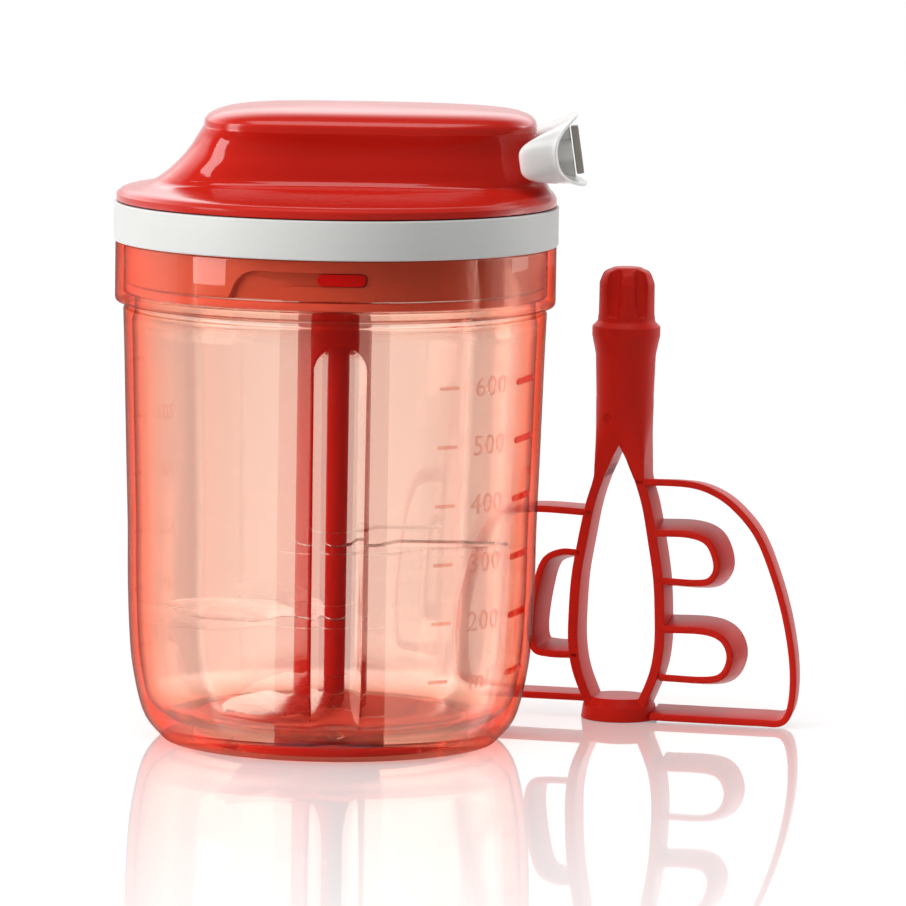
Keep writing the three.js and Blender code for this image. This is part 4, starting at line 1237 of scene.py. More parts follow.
    def scale_piece(self, scale: Scale) -> Object:
        """Makes a scale.

        Args:
            scale: Which scale.

        Returns:
            Its ticks and figures, bent round the bowl.
        """
        first, step = self.marks
        ticks = self.tick(*scale.tick)
        ticks.data.transform(STANDING)
        ticks = self.rows.grow(ticks, scale.finish.material(), Count=6, Step=step * MM)
        ticks.data.transform(Matrix.Rotation(-math.radians(90), 4, "X"))
        ticks.data.transform(Matrix.Translation((0, first * MM, 0)))
        drop = 0.35 * scale.size
        figures = [
            self.figure(text, scale.size, first + i * step - drop) for i, text in enumerate(scale.figures)
        ]
        return self.wrapped(joined(scale.name, [ticks, *figures]), scale.azimuth, scale.proud)

    def lug_piece(self) -> Object:
        """Makes the three lugs inside the collar.

        Returns:
            The lugs.
        """
        (half_width, half_height, level), (root, face, tip) = self.lug, self.lug_depth
        steps, soft = 24, 0.3
        rows = []
        for i in range(steps + 1):
            along = half_width * math.sin((-1 + 2 * i / steps) * math.pi / 2)
            end = max(0.0, abs(along) - (half_width - half_height))
            tall = math.sqrt(max(0.02, half_height**2 - end**2))
            angle = math.radians(FRONT) + along / self.collar_inner
            section = (
                (root, tall), (face, tall), (tip, tall - soft), (tip, soft - tall), (face, -tall),
                (root, -tall),
            )
            rows.append([polar(radius, angle, level + z) for radius, z in section])
        return self.copies.grow(capped("bowl_lugs", rows), Finish.LUG_RED.material(), Count=3, Start=0.0)

    def pad_piece(self) -> Object:
        """Makes the pad in the bowl's foot.

        Returns:
            The pad.
        """
        radius, thickness, edge = self.pad_radius, self.pad_thickness, self.pad_edge
        corners = [(0, 0, 0), (radius, 0, edge), (radius, thickness, edge), (0, thickness, 0)]
        return turned("bowl_pad", rounded(corners, closed=False))

    def disc_piece(self) -> Object:
        """Makes the grained disc on the bowl's floor.

        Returns:
            The disc.
        """
        inner, sunk, proud = self.grain_disc
        low, high = self.floor + sunk, self.floor + proud
        return turned("floor_grain_disc", rounded([
            (inner, low, 0), (self.pad_radius, low, 0), (self.pad_radius, high, 0.1), (inner, high, 0.1),
        ]))

    def build(self) -> None:
        """Makes the bowl's pieces and dresses them."""
        dress(self.wall_piece(), Finish.CLEAR_RED, "bowl", ["bowl"])
        dress(self.pad_piece(), Finish.PAD_CORAL, "bowl", ["base_pad"])
        dress(self.disc_piece(), Finish.PAD_CORAL, "bowl")
        for scale in self.scales:
            dress(self.scale_piece(scale), scale.finish, "bowl")
        dress(self.lug_piece(), Finish.LUG_RED, "bowl")
        dress(rod("pivot_pin_turned", *self.pin, edge=0.5), Finish.STEEL, "bowl", ["pivot_pin"])


@dataclass
class BladeColumn:
    """The column of stacked spacers and pitched blades."""

    radius: float = 9.0
    top: float = 116.8
    bottom: float = 6.4
    hole: float = 3.6
    pin_hole: Pair = (1.8, 8.2)
    socket: Pair = (5.3, 101.8)
    head_floor: float = 62.3
    foot_edge: float = 1.8
    rib: Triple = (3.8, 7.2, 2.2)
    rib_foot: float = 100.0
    root: float = 8.6
    root_thickness: float = 0.8
    wing_start: float = 6.2
    thickness: float = 0.8
    width: float = 16.0
    pitch: float = 11.0
    ground: Triple = (2.2, 0.3, 0.06)
    back_edge: float = 0.1
    joint: float = 0.2
    columns: int = 128
    levels: Mapping[str, Triple] = field(default_factory=lambda: {
        "upper": (48.0, 43.0, 0.0), "middle": (30.0, 43.2, 168.0), "lower": (10.8, 42.0, 238.0),
    })
    shares: Sequence[Triple] = (
        (0, 0.34, -0.34), (0.1, 0.34, -0.34), (0.32, 0.48, -0.5), (0.7, 0.44, -0.5), (0.9, 0.12, -0.36),
        (1, -0.13, -0.17),
    )

    def wing(self, tip: float) -> Object:
        """Makes a blade's wing, which turns to its pitch and ends in a ground edge.

        Args:
            tip: The distance of its tip from the axis.

        Returns:
            The wing, along X.
        """
        steps, start, turn = 60, 0.7, 7
        ground_width, ground_share, sharp = self.ground
        half, edge = self.thickness / 2, self.back_edge
        rings = []
        for share in (i / steps for i in range(steps + 1)):
            front = table_value(self.shares, share, 1) * self.width
            back = table_value(self.shares, share, 2) * self.width
            reach = self.wing_start + (tip - self.wing_start) * share
            pitch = -math.radians(self.pitch) * eased((reach - self.radius - start) / turn)
            ground = front - min(ground_width, (front - back) * ground_share)
            section = [
                (front, -sharp), (front, sharp), (ground, half), (back + edge, half), (back, half - edge),
                (back, edge - half), (back + edge, -half), (ground, -half),
            ]
            rings.append([
                (reach, y * math.cos(pitch) - z * math.sin(pitch), y * math.sin(pitch) + z * math.cos(pitch))
                for y, z in section
            ])
        return capped("wing", rings)

    def blade(self, name: str, level: float, tip: float, azimuth: float) -> Object:
        """Makes a blade: a flat round root and a wing.

        Args:
            name: The object's name.
            level: The height of the blade's middle.
            tip: The distance of its tip from the axis.
            azimuth: Its direction, in degrees.

        Returns:
            The blade.
        """
        half = self.root_thickness / 2
        disc = turned("root", rounded([
            (self.hole, -half, 0.1), (self.root, -half, 0.15), (self.root, half, 0.15),
            (self.hole, half, 0.1),
        ], steps=2), 96)
        made = joined(name, [self.wing(tip), disc])
        return moved(made, Matrix.Translation((0, 0, level)) @ turn_about_z(azimuth))

    def spacer(self, name: str, low: float, high: float) -> Object:
        """Makes a hollow length of the column with soft edges.

        Args:
            name: The object's name.
            low: The height of its foot.
            high: The height of its top.

        Returns:
            The spacer.
        """
        return turned(name, rounded([
            (self.hole, low, 0), (self.radius, low, 0.2), (self.radius, high, 0.2), (self.hole, high, 0),
        ]), self.columns)

    def foot(self, top: float) -> Object:
        """Makes the column's foot, with the hole that the pin enters.

        Args:
            top: The height of its top.

        Returns:
            The foot.
        """
        (hole, ceiling), edge = self.pin_hole, self.foot_edge
        return turned("foot_turned", rounded([
            (hole, self.bottom, 0), (self.radius - edge, self.bottom, 0.4),
            (self.radius, self.bottom + edge, 0.6), (self.radius, top, 0.2), (self.hole, top, 0),
            (self.hole, ceiling, 0), (hole, ceiling, 0),
        ]), self.columns)

    def head(self, bottom: float) -> Object:
        """Makes the column's head, with three ribs in its socket.

        Args:
            bottom: The height of its foot.

        Returns:
            The head.
        """
        socket, socket_floor = self.socket
        head = turned("head", rounded([
            (0, self.head_floor, 0), (self.hole, self.head_floor, 0), (self.hole, bottom, 0),
            (self.radius, bottom, 0.2), (self.radius, self.top - 1.6, 0.6),
            (self.radius - 0.9, self.top, 0.3), (socket, self.top, 0.3), (socket, socket_floor, 0),
            (0, socket_floor, 0),
        ], closed=False), self.columns)
        inner, outer, width = self.rib
        low, high = (inner, -width / 2, self.rib_foot), (outer, width / 2, self.top - 1.8)
        ribs = [moved(brick("rib", low, high), turn_about_z(60 + 120 * i)) for i in range(3)]
        return joined("column_head_turned", [head, *ribs])

    def build(self) -> None:
        """Makes the column's pieces and dresses them."""
        for label, (level, tip, azimuth) in self.levels.items():
            blade = self.blade(f"blade_{label}_ground", level, tip, azimuth)
            dress(blade, Finish.STEEL, "blade_unit", [f"blade_{label}"])
        upper, middle, lower = (self.levels[key][0] for key in ("upper", "middle", "lower"))
        gap = self.joint
        for made, node in (
            (self.spacer("spacer_upper_turned", middle + gap, upper - gap), "column_spacer_upper"),
            (self.spacer("spacer_lower_turned", lower + gap, middle - gap), "column_spacer_lower"),
            (self.foot(lower - gap), "column_foot"), (self.head(upper + gap), "column_head"),
        ):
            dress(made, Finish.COLUMN_RED, "blade_unit", [node])


@dataclass
class Cover:
    """The cover: a white band, a domed red shell and the plate with the bayonet skirt."""

    copies: Growth
    rim_radius: float = 53.6
    rim_bottom: float = 131.55
    top: float = 156.0
    wall: float = 2.0
    cap_left: float = 32.4
    cap_right: float = 48.4
    cap_side: float = 25.0
    squareness: float = 0.6
    band_radius: float = 54.2
    band_bottom: float = 121.8
    band_top: float = 131.25
    band_wall: float = 2.6
    flange_inner: float = 39.0
    flange: float = 2.0
    lip: tuple[float, float, float, float] = (49.6, 51.3, 127.3, 133.0)
    boss: tuple[float, float, float, float] = (2.3, 4.8, 149.7, 155.0)
    outlet_radius: float = 3.3
    rim_edge: Sequence[Pair] = ((0.3, 0.0), (0.08, 0.09), (0.0, 0.35))
    plate_bottom: float = 119.5
    plate_top: float = 121.5
    plate_hole: float = 5.3
    skirt_radius: float = 51.1
    skirt_inner: float = 47.6
    skirt_bottom: float = 111.8
    channel_depth: Pair = (49.8, 53.0)
    channel_step: float = 1.2
    screw_reach: float = 43.5
    screw_start: float = 30.0
    screw_hole: float = 1.6
    seal: tuple[float, float, float, float] = (48.75, 51.05, 109.5, 111.5)
    channel_outline: Sequence[Triple] = (
        (6.1, 115.4, 1.8), (6.1, 118.6, 1.8), (-24.8, 118.8, 7.0), (-28.9, 109.0, 0), (-14.0, 109.0, 0),
        (-14.4, 115.3, 3.5),
    )
    screw_outline: Sequence[Triple] = (
        (0, 117.9, 0), (3.0, 117.9, 0.5), (3.0, 119.2, 0), (1.3, 119.2, 0), (1.3, 127.0, 0), (0.65, 128.3, 0),
        (0, 128.3, 0),
    )
    flank: Sequence[Sequence[float]] = (
        (0.067, 1, 1, 1, 0), (0.1125, 0.94, 0.885, 0.92, 0), (0.141, 0.783, 0.75, 0.57, 0.3),
        (0.161, 0.69, 0.68, 0.29, 0.42), (0.179, 0.615, 0.63, 0.13, 0.53), (0.2, 0.555, 0.58, 0.045, 0.65),
        (0.225, 0.515, 0.53, 0.0, 0.77), (0.253, 0.47, 0.475, -0.022, 0.9), (0.2965, 0.406, 0.404, -0.04, 1),
        (0.415, 0.269, 0.25, -0.05, 1), (0.538, 0.156, 0.135, -0.065, 1), (0.648, 0.08, 0.06, -0.05, 1),
        (0.722, 0.028, 0, -0.015, 1), (0.7464, 0.01, 0, 0, 1),
    )
    crown: Sequence[Sequence[float]] = (
        (0.7464, 1.0, 1.0, 1.0), (0.828, 0.99, 0.996, 0.992), (0.894, 0.91, 0.957, 0.912),
        (0.943, 0.756, 0.857, 0.76), (0.975, 0.48, 0.6, 0.48), (1, 0, 0, 0),
    )

    def oval(self, angle: float, left: float, right: float, side: float, power: float) -> float:
        """Gives the distance of an oval's outline from the axis in one direction.

        Args:
            angle: The direction, in radians.
            left: The oval's reach towards -X.
            right: Its reach towards +X.
            side: Its reach towards -Y and +Y.
            power: 2 for an ellipse, more for a squarer oval.

        Returns:
            The distance.
        """
        along = abs(math.cos(angle)) / (left if math.cos(angle) < 0 else right)
        return (along**power + (abs(math.sin(angle)) / side) ** power) ** (-1 / power)

    def profile(self, angle: float) -> list[Pair]:
        """Gives the shell's outside in one direction.

        Args:
            angle: The direction, in radians.

        Returns:
            The radius and height of each point, from the rim to the top.
        """
        rise, power = self.top - self.rim_bottom, 2 * (1 + self.squareness)
        caps = (self.cap_left, self.cap_right, self.cap_side)
        points = []
        for share, *outs, square in smooth(self.flank, 7):
            reach = [cap + (self.rim_radius - cap) * out for cap, out in zip(caps, outs)]
            square = min(1.0, max(0.0, square))
            radius = self.oval(angle, *reach, 2 * (1 + self.squareness * square))
            points.append((radius, self.rim_bottom + share * rise))
        for share, *outs in smooth(self.crown, 7)[1:-1]:
            reach = [max(out, 0.001) * cap for cap, out in zip(caps, outs)]
            points.append((self.oval(angle, *reach, power), self.rim_bottom + min(share, 1.0) * rise))
        start = [(self.rim_radius - inward, self.rim_bottom + up) for inward, up in self.rim_edge]
        return [*start, *points, (0.0, self.top)]

    def shell(self) -> Object:
        """Makes the domed shell with its wall, its lip and the cord's outlet.

        Returns:
            The shell.
        """
        columns = 216
        angles = [math.tau * i / columns for i in range(columns)]
        profiles = [self.profile(angle) for angle in angles]
        rings = [[polar(radius, a, z) for a, (radius, z) in zip(angles, row)] for row in zip(*profiles)]
        shell = skin("cover_dome", rings, around=False, crease=50)
        first = shell.data.polygons[0]
        if first.normal.xy @ Vector(first.center.xy) < 0:
            shell.data.flip_normals()
        modifier = shell.modifiers.new("wall", "SOLIDIFY")
        modifier.thickness, modifier.offset = self.wall * MM, -1
        settled(shell, 50)
        outlet = rod("outlet", self.outlet_radius, 0, 30)
        moved(outlet, Matrix.Translation((40, 0, OUTLET[2])) @ ALONG_X)
        carved(shell, [outlet])
        inner, outer, low, high = self.lip
        corners = [(inner, low, 0.3), (outer, low, 0.3), (outer, high, 0), (inner, high, 0)]
        lip = turned("lip", rounded(corners), 144)
        inner, outer, low, high = self.boss
        boss = turned("boss", [(inner, low), (outer, low), (outer, high), (inner, high)], 48)
        return joined("cover_dome", [shell, lip, boss])

    def band(self) -> Object:
        """Makes the white band with its inner flange.

        Returns:
            The band.
        """
        inner, low, high = self.band_radius - self.band_wall, self.band_bottom, self.band_top
        return turned("cover_belt", rounded([
            (self.flange_inner, low, 0.2), (self.band_radius, low, 0.5), (self.band_radius, high, 0.45),
            (inner, high, 0.3), (inner, low + self.flange, 0), (self.flange_inner, low + self.flange, 0.2),
        ]), 240)

    def channel(self) -> Object:
        """Makes a cutter for one bayonet channel, which runs past the lug and then down to the skirt's foot.

        Returns:
            The cutter.
        """
        outline = rounded(self.channel_outline, steps=8)
        fine: list[Pair] = []
        for (x, z), (u, w) in zip(outline, outline[1:] + outline[:1]):
            parts = max(1, int(math.hypot(u - x, w - z) / self.channel_step))
            fine += [(x + (u - x) * i / parts, z + (w - z) * i / parts) for i in range(parts)]
        points = [
            polar(radius, math.radians(FRONT) + along / self.skirt_radius, height)
            for radius in self.channel_depth for along, height in fine
        ]
        count = len(fine)
        faces = [*side_faces(count), list(range(count))[::-1], list(range(count, 2 * count))]
        return piece("channel", points, faces)

    def plate(self) -> Object:
        """Makes the plate under the cover with its skirt.

        Returns:
            The plate.
        """
        hole, low, high = self.plate_hole, self.plate_bottom, self.plate_top
        inner, outer, foot = self.skirt_inner, self.skirt_radius, self.skirt_bottom
        plate = turned("cover_plate", rounded([
            (hole, low, 0.3), (inner, low, 1.0), (inner, foot, 0.5), (outer, foot, 0.5), (outer, high, 0.2),
            (hole, high, 0.3),
        ]), 240)
        channels = self.copies.grow(self.channel(), Count=3, Start=0.0)
        overrun = 1.5
        drill = rod("hole", self.screw_hole, low - overrun, high + overrun, edge=0)
        moved(drill, Matrix.Translation((self.screw_reach, 0, 0)))
        holes = self.copies.grow(drill, Count=3, Start=math.radians(self.screw_start))
        return carved(plate, [channels, holes])

    def screws(self) -> Object:
        """Makes the three screws with their crossed slots.

        Returns:
            The screws.
        """
        screw = turned("screws", rounded(self.screw_outline, closed=False), 40)
        long, thin, low, high = 2.1, 0.35, 117, 118.55
        slots = [brick("slot", (-x, -y, low), (x, y, high)) for x, y in ((long, thin), (thin, long))]
        carved(screw, slots)
        moved(screw, Matrix.Translation((self.screw_reach, 0, 0)))
        start = math.radians(self.screw_start)
        return self.copies.grow(screw, Finish.STEEL.material(), Count=3, Start=start)

    def seal_piece(self) -> Object:
        """Makes the seal between the cover and the bowl.

        Returns:
            The seal.
        """
        inner, outer, low, high = self.seal
        corners = [(r, z, 0.5) for r, z in ((inner, low), (outer, low), (outer, high), (inner, high))]
        return turned("seal_lip", rounded(corners), 200)

    def build(self) -> None:
        """Makes the cover's pieces and dresses them."""
        dress(self.shell(), Finish.COVER_RED, "cover", ["cover_shell"])
        dress(self.band(), Finish.BAND_WHITE, "cover", ["cover_band"])
        dress(self.plate(), Finish.PLATE_RED, "cover", ["base_plate"])
        dress(self.seal_piece(), Finish.SEAL_CORAL, "seal", ["seal_ring"])
        dress(self.screws(), Finish.STEEL, "cover", [f"cover_screw_{i}" for i in (1, 2, 3)])


@dataclass
class PullGrip:
    """The white grip with its finger pockets, and the cord's run to it."""

    tilt: float = 8.5
    gap: float = 1.8
    depth: float = 8.5
    back: float = 2.0
    half_width: float = 22.6
    back_height: float = 4.2
    mouth_height: float = 8.8
    bend: float = 29.8
    web: float = 2.8
    web_reach: float = 9.0
    web_gap: float = 2.4
    boss: float = 3.2
    cord_hole: float = 1.2
    ferrule_pocket: float = 2.3
    insert: tuple[float, float, float, float] = (2.1, 0.3, 2.6, 5.8)
    cord: float = 1.8
    cord_inlet: float = 42.4
    cord_seen: float = 4.1
    cord_blend: Pair = (0.3, 4.0)
    reel_radius: float = 15.5
    outside: Sequence[Sequence[float]] = (
        (0, 0.75, -0.3, 0.55), (0.06, 0.91, 0.04, 0.45), (0.2, 0.975, 0.3, 0.44), (0.41, 1, 0.5, 0.5),
        (0.69, 0.995, 0.72, 0.64), (0.9, 0.985, 0.9, 0.76), (1, 0.99, 1, 0.8),
    )
    cavity: Sequence[Sequence[float]] = (
        (1, 0.945, 0.84, 0.8), (0.6, 0.92, 0.5, 0.64), (0.225, 0.89, 0.25, 0.5), (0.05, 0.82, 0, 0.5),
        (0, 0.6, -0.4, 0.6),
    )

    def direction(self) -> Vector:
        """The way that the grip is pulled."""
        tilt = math.radians(self.tilt)
        return Vector((math.cos(tilt), 0, math.sin(tilt)))

    def ring(self, reach: float, width: float, height: float, power: float = 0.8) -> list[Triple]:
        """Gives one ring of the grip, bent round the cover's end.

        Args:
            reach: How far along the pull it lies.
            width: Its width, as a share of the grip's.
            height: Its height: 0 at the back's, 1 at the mouth's, -1 flat.
            power: How round its corners are; less is squarer.

        Returns:
            The ring's points.
        """
        columns, thinnest = 120, 0.01
        grown = self.back_height + (self.mouth_height - self.back_height) * max(0.0, height)
        half_height = max(thinnest, grown + min(0.0, height) * self.back_height)
        radius = reach + self.bend
        points = []
        for angle in (math.tau * i / columns for i in range(columns)):
            c, s = math.cos(angle), math.sin(angle)
            y = width * self.half_width * math.copysign(abs(c) ** power, c)
            back = radius - math.sqrt(radius**2 - y**2)
            points.append((reach - back, y, half_height * math.copysign(abs(s) ** power, s)))
        return points

    def rings(self, table: Sequence[Sequence[float]], start: float, end: float) -> list[list[Triple]]:
        """The rings of a table of shares between two places along the pull."""
        return [self.ring(start + (end - start) * share, *sizes) for share, *sizes in smooth(table, 6)]

    def lying(self, name: str, radius: float, low: float, high: float, edge: float = 0.2) -> Object:
        """A rod along the pull."""
        return moved(rod(name, radius, low, high, edge), ALONG_X)

    def body(self) -> Object:
        """Makes the grip with its web and its boss.

        Returns:
            The grip, in its own frame with the pull along X.
        """
        mouth, floor = self.gap + self.depth, self.gap + self.back
        overlap = 0.3
        outside = [self.ring(self.gap, 0, -1), *self.rings(self.outside, self.gap, mouth)]
        inside = [*self.rings(self.cavity, floor, mouth), self.ring(floor, 0, -1)]
        shell = bevelled(skin("grip_body", [*outside, *inside], around=False), 0.28, 3, 45)
        whole = skin("whole", [*outside, self.ring(mouth, 0, -1)], around=False)
        start, end, half, reach = floor - overlap, mouth - self.web_gap, self.web / 2, self.web_reach
        web = bevelled(brick("web", (start, -half, -reach), (end, half, reach)), 0.3)
        carved(web, [self.lying("boss", self.boss, start, end, 0.5)], Carving.ADD)
        carved(web, [whole], Carving.KEEP)
        hole = self.lying("hole", self.cord_hole, -1, floor + 1)
        pocket = self.lying("pocket", self.ferrule_pocket, floor + overlap, 14)
        return joined("grip_body", [carved(shell, [hole]), carved(web, [pocket])])

    def strip(self) -> Object:
        """Makes the grey strip that closes the web's end.

        Returns:
            The strip, in the grip's own frame.
        """
        mouth = self.gap + self.depth
        deep, shallow, wide, tall = self.insert
        made = brick("grip_strip", (mouth - deep, -wide, -tall), (mouth - shallow, wide, tall))
        return bevelled(made, 0.35, 3)

    def cord_run(self) -> Object:
        """Makes the cord from the reel through the eyelet to the grip.

        Returns:
            The cord.
        """
        inlet, outlet = Vector((self.cord_inlet, 0, 0)), Vector((OUTLET[0], 0, 0))
        tangent = math.acos(self.reel_radius / inlet.x)
        start = Vector((math.cos(tangent), -math.sin(tangent), 0)) * self.reel_radius
        end = outlet + self.direction() * self.cord_seen
        path = smooth([
            start, start.lerp(inlet, 0.5), inlet.lerp(start, 0.04), inlet.lerp(outlet, 0.15),
            outlet.lerp(inlet, 0.1), end,
        ], 8)
        section, level = 16, Vector((0, 0, OUTLET[2]))
        rings = []
        for i, spot in enumerate(path):
            before, after = Vector(path[max(0, i - 1)]), Vector(path[min(len(path) - 1, i + 1)])
            along = (after - before).normalized()
            side = along.cross(Vector((0, 0, 1))).normalized()
            up = side.cross(along)
            rings.append([
                tuple(Vector(spot) + (side * math.cos(a) + up * math.sin(a)) * (self.cord / 2) + level)
                for a in (math.tau * k / section for k in range(section))
            ])
        return capped("cord_run", rings)

    def build(self) -> None:
        """Makes the grip's pieces and dresses them."""
        matrix = Matrix.Translation(OUTLET) @ Matrix.Rotation(-math.radians(self.tilt), 4, "Y")
        dress(moved(self.body(), matrix), Finish.GRIP_WHITE, "pull_grip", ["pull_grip"])
        dress(moved(self.strip(), matrix), Finish.STRIP_GREY, "pull_grip", ["grip_insert"])
        cord = dress(self.cord_run(), Finish.CORD, "", ["pull_cord"])
        start, end = (tuple((Vector(OUTLET) + self.direction() * reach) * MM) for reach in self.cord_blend)
        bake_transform(cord)
        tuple(start)
        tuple(end)


@dataclass
class Whisk:
    """The loose whisk insert: a grooved head, a barrel, two legs and open loops on both sides."""

    copies: Growth
    bars: Growth
    place: Triple = (72.0, 37.0, 0.0)
    turn: float = -14.0
    height: float = 113.4
    head_bottom: float = 98.6
    head_radius: float = 7.1
    skirt_radius: float = 8.5
    barrel_bottom: float = 80.0
    barrel_radius: float = 7.2
    depth: float = 11.0
    right_reach: float = 45.2
    right_height: float = 60.3
    left_reach: float = 39.0
    left_height: float = 52.5
    bar_thickness: float = 1.7
    bar_edge: float = 0.45
    flare: float = 1.8
    leg_edge: float = 0.5
    dimple_radius: float = 2.1
    dimple: Triple = (-3.3, -7.75, 75.8)
    teardrop_low: float = 56.0
    teardrop_middle: float = 60.0
    teardrop_depth: float = 9.0
    right_loop: Sequence[Pair] = (
        (0.1, 1), (0.38, 1), (0.52, 0.975), (0.65, 0.915), (0.785, 0.8), (0.885, 0.63), (0.96, 0.44),
        (1, 0.245), (0.99, 0.09), (0.94, 0.026), (0.8, 0.02), (0.2, 0.02),
    )
    right_upper: Sequence[Pair] = (
        (0.2, 0.788), (0.4, 0.788), (0.505, 0.76), (0.553, 0.688), (0.549, 0.63), (0.487, 0.594),
        (0.23, 0.594),
    )
    right_lower: Sequence[Pair] = (
        (0.25, 0.388), (0.498, 0.388), (0.602, 0.358), (0.642, 0.29), (0.608, 0.216), (0.52, 0.19),
        (0.25, 0.19),
    )
    left_loop: Sequence[Pair] = (
        (0.175, 0.99), (0.564, 0.996), (0.73, 0.965), (0.846, 0.866), (0.936, 0.686), (1, 0.457),
        (0.985, 0.19), (0.9, 0.103), (0.8, 0.101), (0.2, 0.101),
    )
    left_inner: Sequence[Pair] = (
        (0.25, 0.796), (0.372, 0.796), (0.477, 0.752), (0.533, 0.629), (0.569, 0.419), (0.538, 0.324),
        (0.449, 0.303), (0.26, 0.303),
    )
    fork: Sequence[Triple] = (
        (2.5, 7.4, 4.6), (4, 7.9, 5.3), (12, 11.1, 8.5), (19, 12.3, 9.7), (27, 12.3, 9.7), (36, 11.75, 9.15),
        (45, 10.3, 7.7), (54, 8.5, 6.0), (60.7, 6.6, 3.9), (64, 6.4, 2.5), (66, 6.3, 1.7), (69.3, 6.3, 0),
    )
    throat: Sequence[tuple[float, float, float, float]] = (
        (61, 6.4, 5.4, 0.12), (64, 6.38, 5.48, 0.12), (66.5, 6.45, 5.58, 0.16), (70, 6.6, 5.95, 0.38),
        (74, 6.95, 6.6, 0.75), (78, 7.2, 7.15, 1), (81, 7.2, 7.2, 1),
    )
    hub: Sequence[Triple] = (
        (3.5, 0, 0.2), (9.6, 0, 0.4), (9.1, 3.4, 1), (7.7, 5.6, 0.6), (0, 5.6, 0), (0, 5.4, 0), (3.5, 5.4, 0),
    )
    groove_radius: float = 1.9
    groove_end: float = 1.8
    groove_length: float = 20.0
    groove_lean: float = 9.0
    groove_foot: Pair = (8.0, 2.6)
    groove_turn: float = 14.0

    def bar(self, shares: Sequence[Pair], reach: float, height: float, flare: float) -> Object:
        """Makes a bar along a path, upright in the plane of the wings.

        Args:
            shares: The path, as shares of the reach and the height.
            reach: The wing's reach.
            height: The wing's height.
            flare: How far the bar's back stands off to one side of its path.

        Returns:
            The bar.
        """
        path = smooth([(x * reach, z * height) for x, z in shares], 9)
        mesh = bpy.data.meshes.new("bar")
        edges = [(i, i + 1) for i in range(len(path) - 1)]
        mesh.from_pydata([(x * MM, z * MM, 0) for x, z in path], edges, [])
        sizes = {
            "Thickness": self.bar_thickness, "Depth": self.depth, "Flare": flare, "Edge": self.bar_edge,
        }
        metres = {name: size * MM for name, size in sizes.items()}
        return moved(self.bars.grow(linked("bar", mesh), Finish.WHISK_RED.material(), **metres), STANDING)

    def leg_piece(self, side: int) -> Object:
        """Makes one leg of the fork: a flat bar as deep as the wings between its two contours.

        Args:
            side: -1 for the left leg, 1 for the right one.

        Returns:
            The leg.
        """
        half, rings = self.depth / 2, []
        for height, outer, inner in smooth(self.fork[:-1], 6):
            inner = max(0.0, inner)
            corners = [(inner, -half), (outer, -half), (outer, half), (inner, half)]
            ring = rounded([(x, y, self.leg_edge) for x, y in corners], steps=3)
            rings.append([(side * x, y, height) for x, y in ring])
        return capped("leg", rings)

    def throat_piece(self) -> Object:
        """Makes the passage from the legs to the round barrel, with the teardrop's top and a moulding dimple.

        Returns:
            The throat.
        """
        columns, rings = 96, []
        for height, along, across, power in smooth(self.throat, 5):
            ring = []
            for angle in (math.tau * i / columns for i in range(columns)):
                c, s = math.cos(angle), math.sin(angle)
                x, y = along * math.copysign(abs(c) ** power, c), across * math.copysign(abs(s) ** power, s)
                ring.append((x, y, height))
            rings.append(ring)
        ends = [[(0.0, 0.0, ring[0][2])] * columns for ring in (rings[0], rings[-1])]
        throat = skin("throat", [ends[0], *rings, ends[1]], around=False)
        side = [(inner, height) for height, _, inner in smooth(self.fork, 6) if height > self.teardrop_low]
        outline = [*side, *((-x, z) for x, z in side[-2::-1])]
        deep = (-self.teardrop_depth, self.teardrop_depth)
        front, back = ([(x, y, z) for x, z in outline] for y in deep)
        first, last = ([(0.0, y, self.teardrop_middle)] * len(outline) for y in deep)
        angles = [math.pi * i / 12 for i in range(13)]
        ball = [(self.dimple_radius * math.sin(a), -self.dimple_radius * math.cos(a)) for a in angles]
        dimple = moved(turned("dimple", ball, 24), Matrix.Translation(self.dimple))
        return carved(throat, [skin("teardrop", [first, front, back, last], around=False), dimple])

    def head(self) -> Object:
        """Makes the grooved head and the barrel under it.

        Returns:
            The head.
        """
        top, low, radius = self.height, self.barrel_bottom, self.barrel_radius
        skirt, skirt_radius, head_radius = self.head_bottom, self.skirt_radius, self.head_radius
        sunk = radius - 0.05
        barrel = turned("whisk_head", rounded([
            (0, low, 0), (sunk, low, 0), (sunk, low + 1, 0), (radius, low + 2, 0),
            (radius + 0.3, skirt - 7, 6), (skirt_radius, skirt - 2.2, 2), (skirt_radius, skirt, 0.5),
            (head_radius, skirt + 1.4, 1.2),
            (head_radius, top - 4.0, 3), (head_radius * 0.86, top - 1.3, 2.4), (3.4, top, 1.6), (0, top, 0),
        ], closed=False, steps=7), 144)
        groove = turned("groove", rounded([
            (0, 0, 0), (self.groove_radius, 0, self.groove_end), (self.groove_radius, self.groove_length, 0),
            (0, self.groove_length, 0),
        ], closed=False), 32)
        reach, rise = self.groove_foot
        lean = Matrix.Rotation(-math.radians(self.groove_lean), 4, "Y")
        moved(groove, Matrix.Translation((reach, 0, skirt + rise)) @ lean)
        return carved(barrel, [self.copies.grow(groove, Count=6, Start=math.radians(self.groove_turn))])

    def build(self) -> None:
        """Makes the whisk and dresses it."""
        right, left = (self.right_reach, self.right_height), (-self.left_reach, self.left_height)
        outward = -1.2
        parts = [self.leg_piece(side) for side in (-1, 1)]
        parts += [
            self.bar(self.right_loop, *right, outward), self.bar(self.right_upper, *right, self.flare),
            self.bar(self.right_lower, *right, self.flare), self.bar(self.left_loop, *left, 0),
            self.bar(self.left_inner, *left, self.flare), self.throat_piece(), self.head(),
            turned("hub", rounded(self.hub), 96),
        ]
        whisk = moved(joined("whisk_frame", parts), Matrix.Translation(self.place) @ turn_about_z(self.turn))
        dress(whisk, Finish.WHISK_RED, "whisk", ["whisk_insert"])


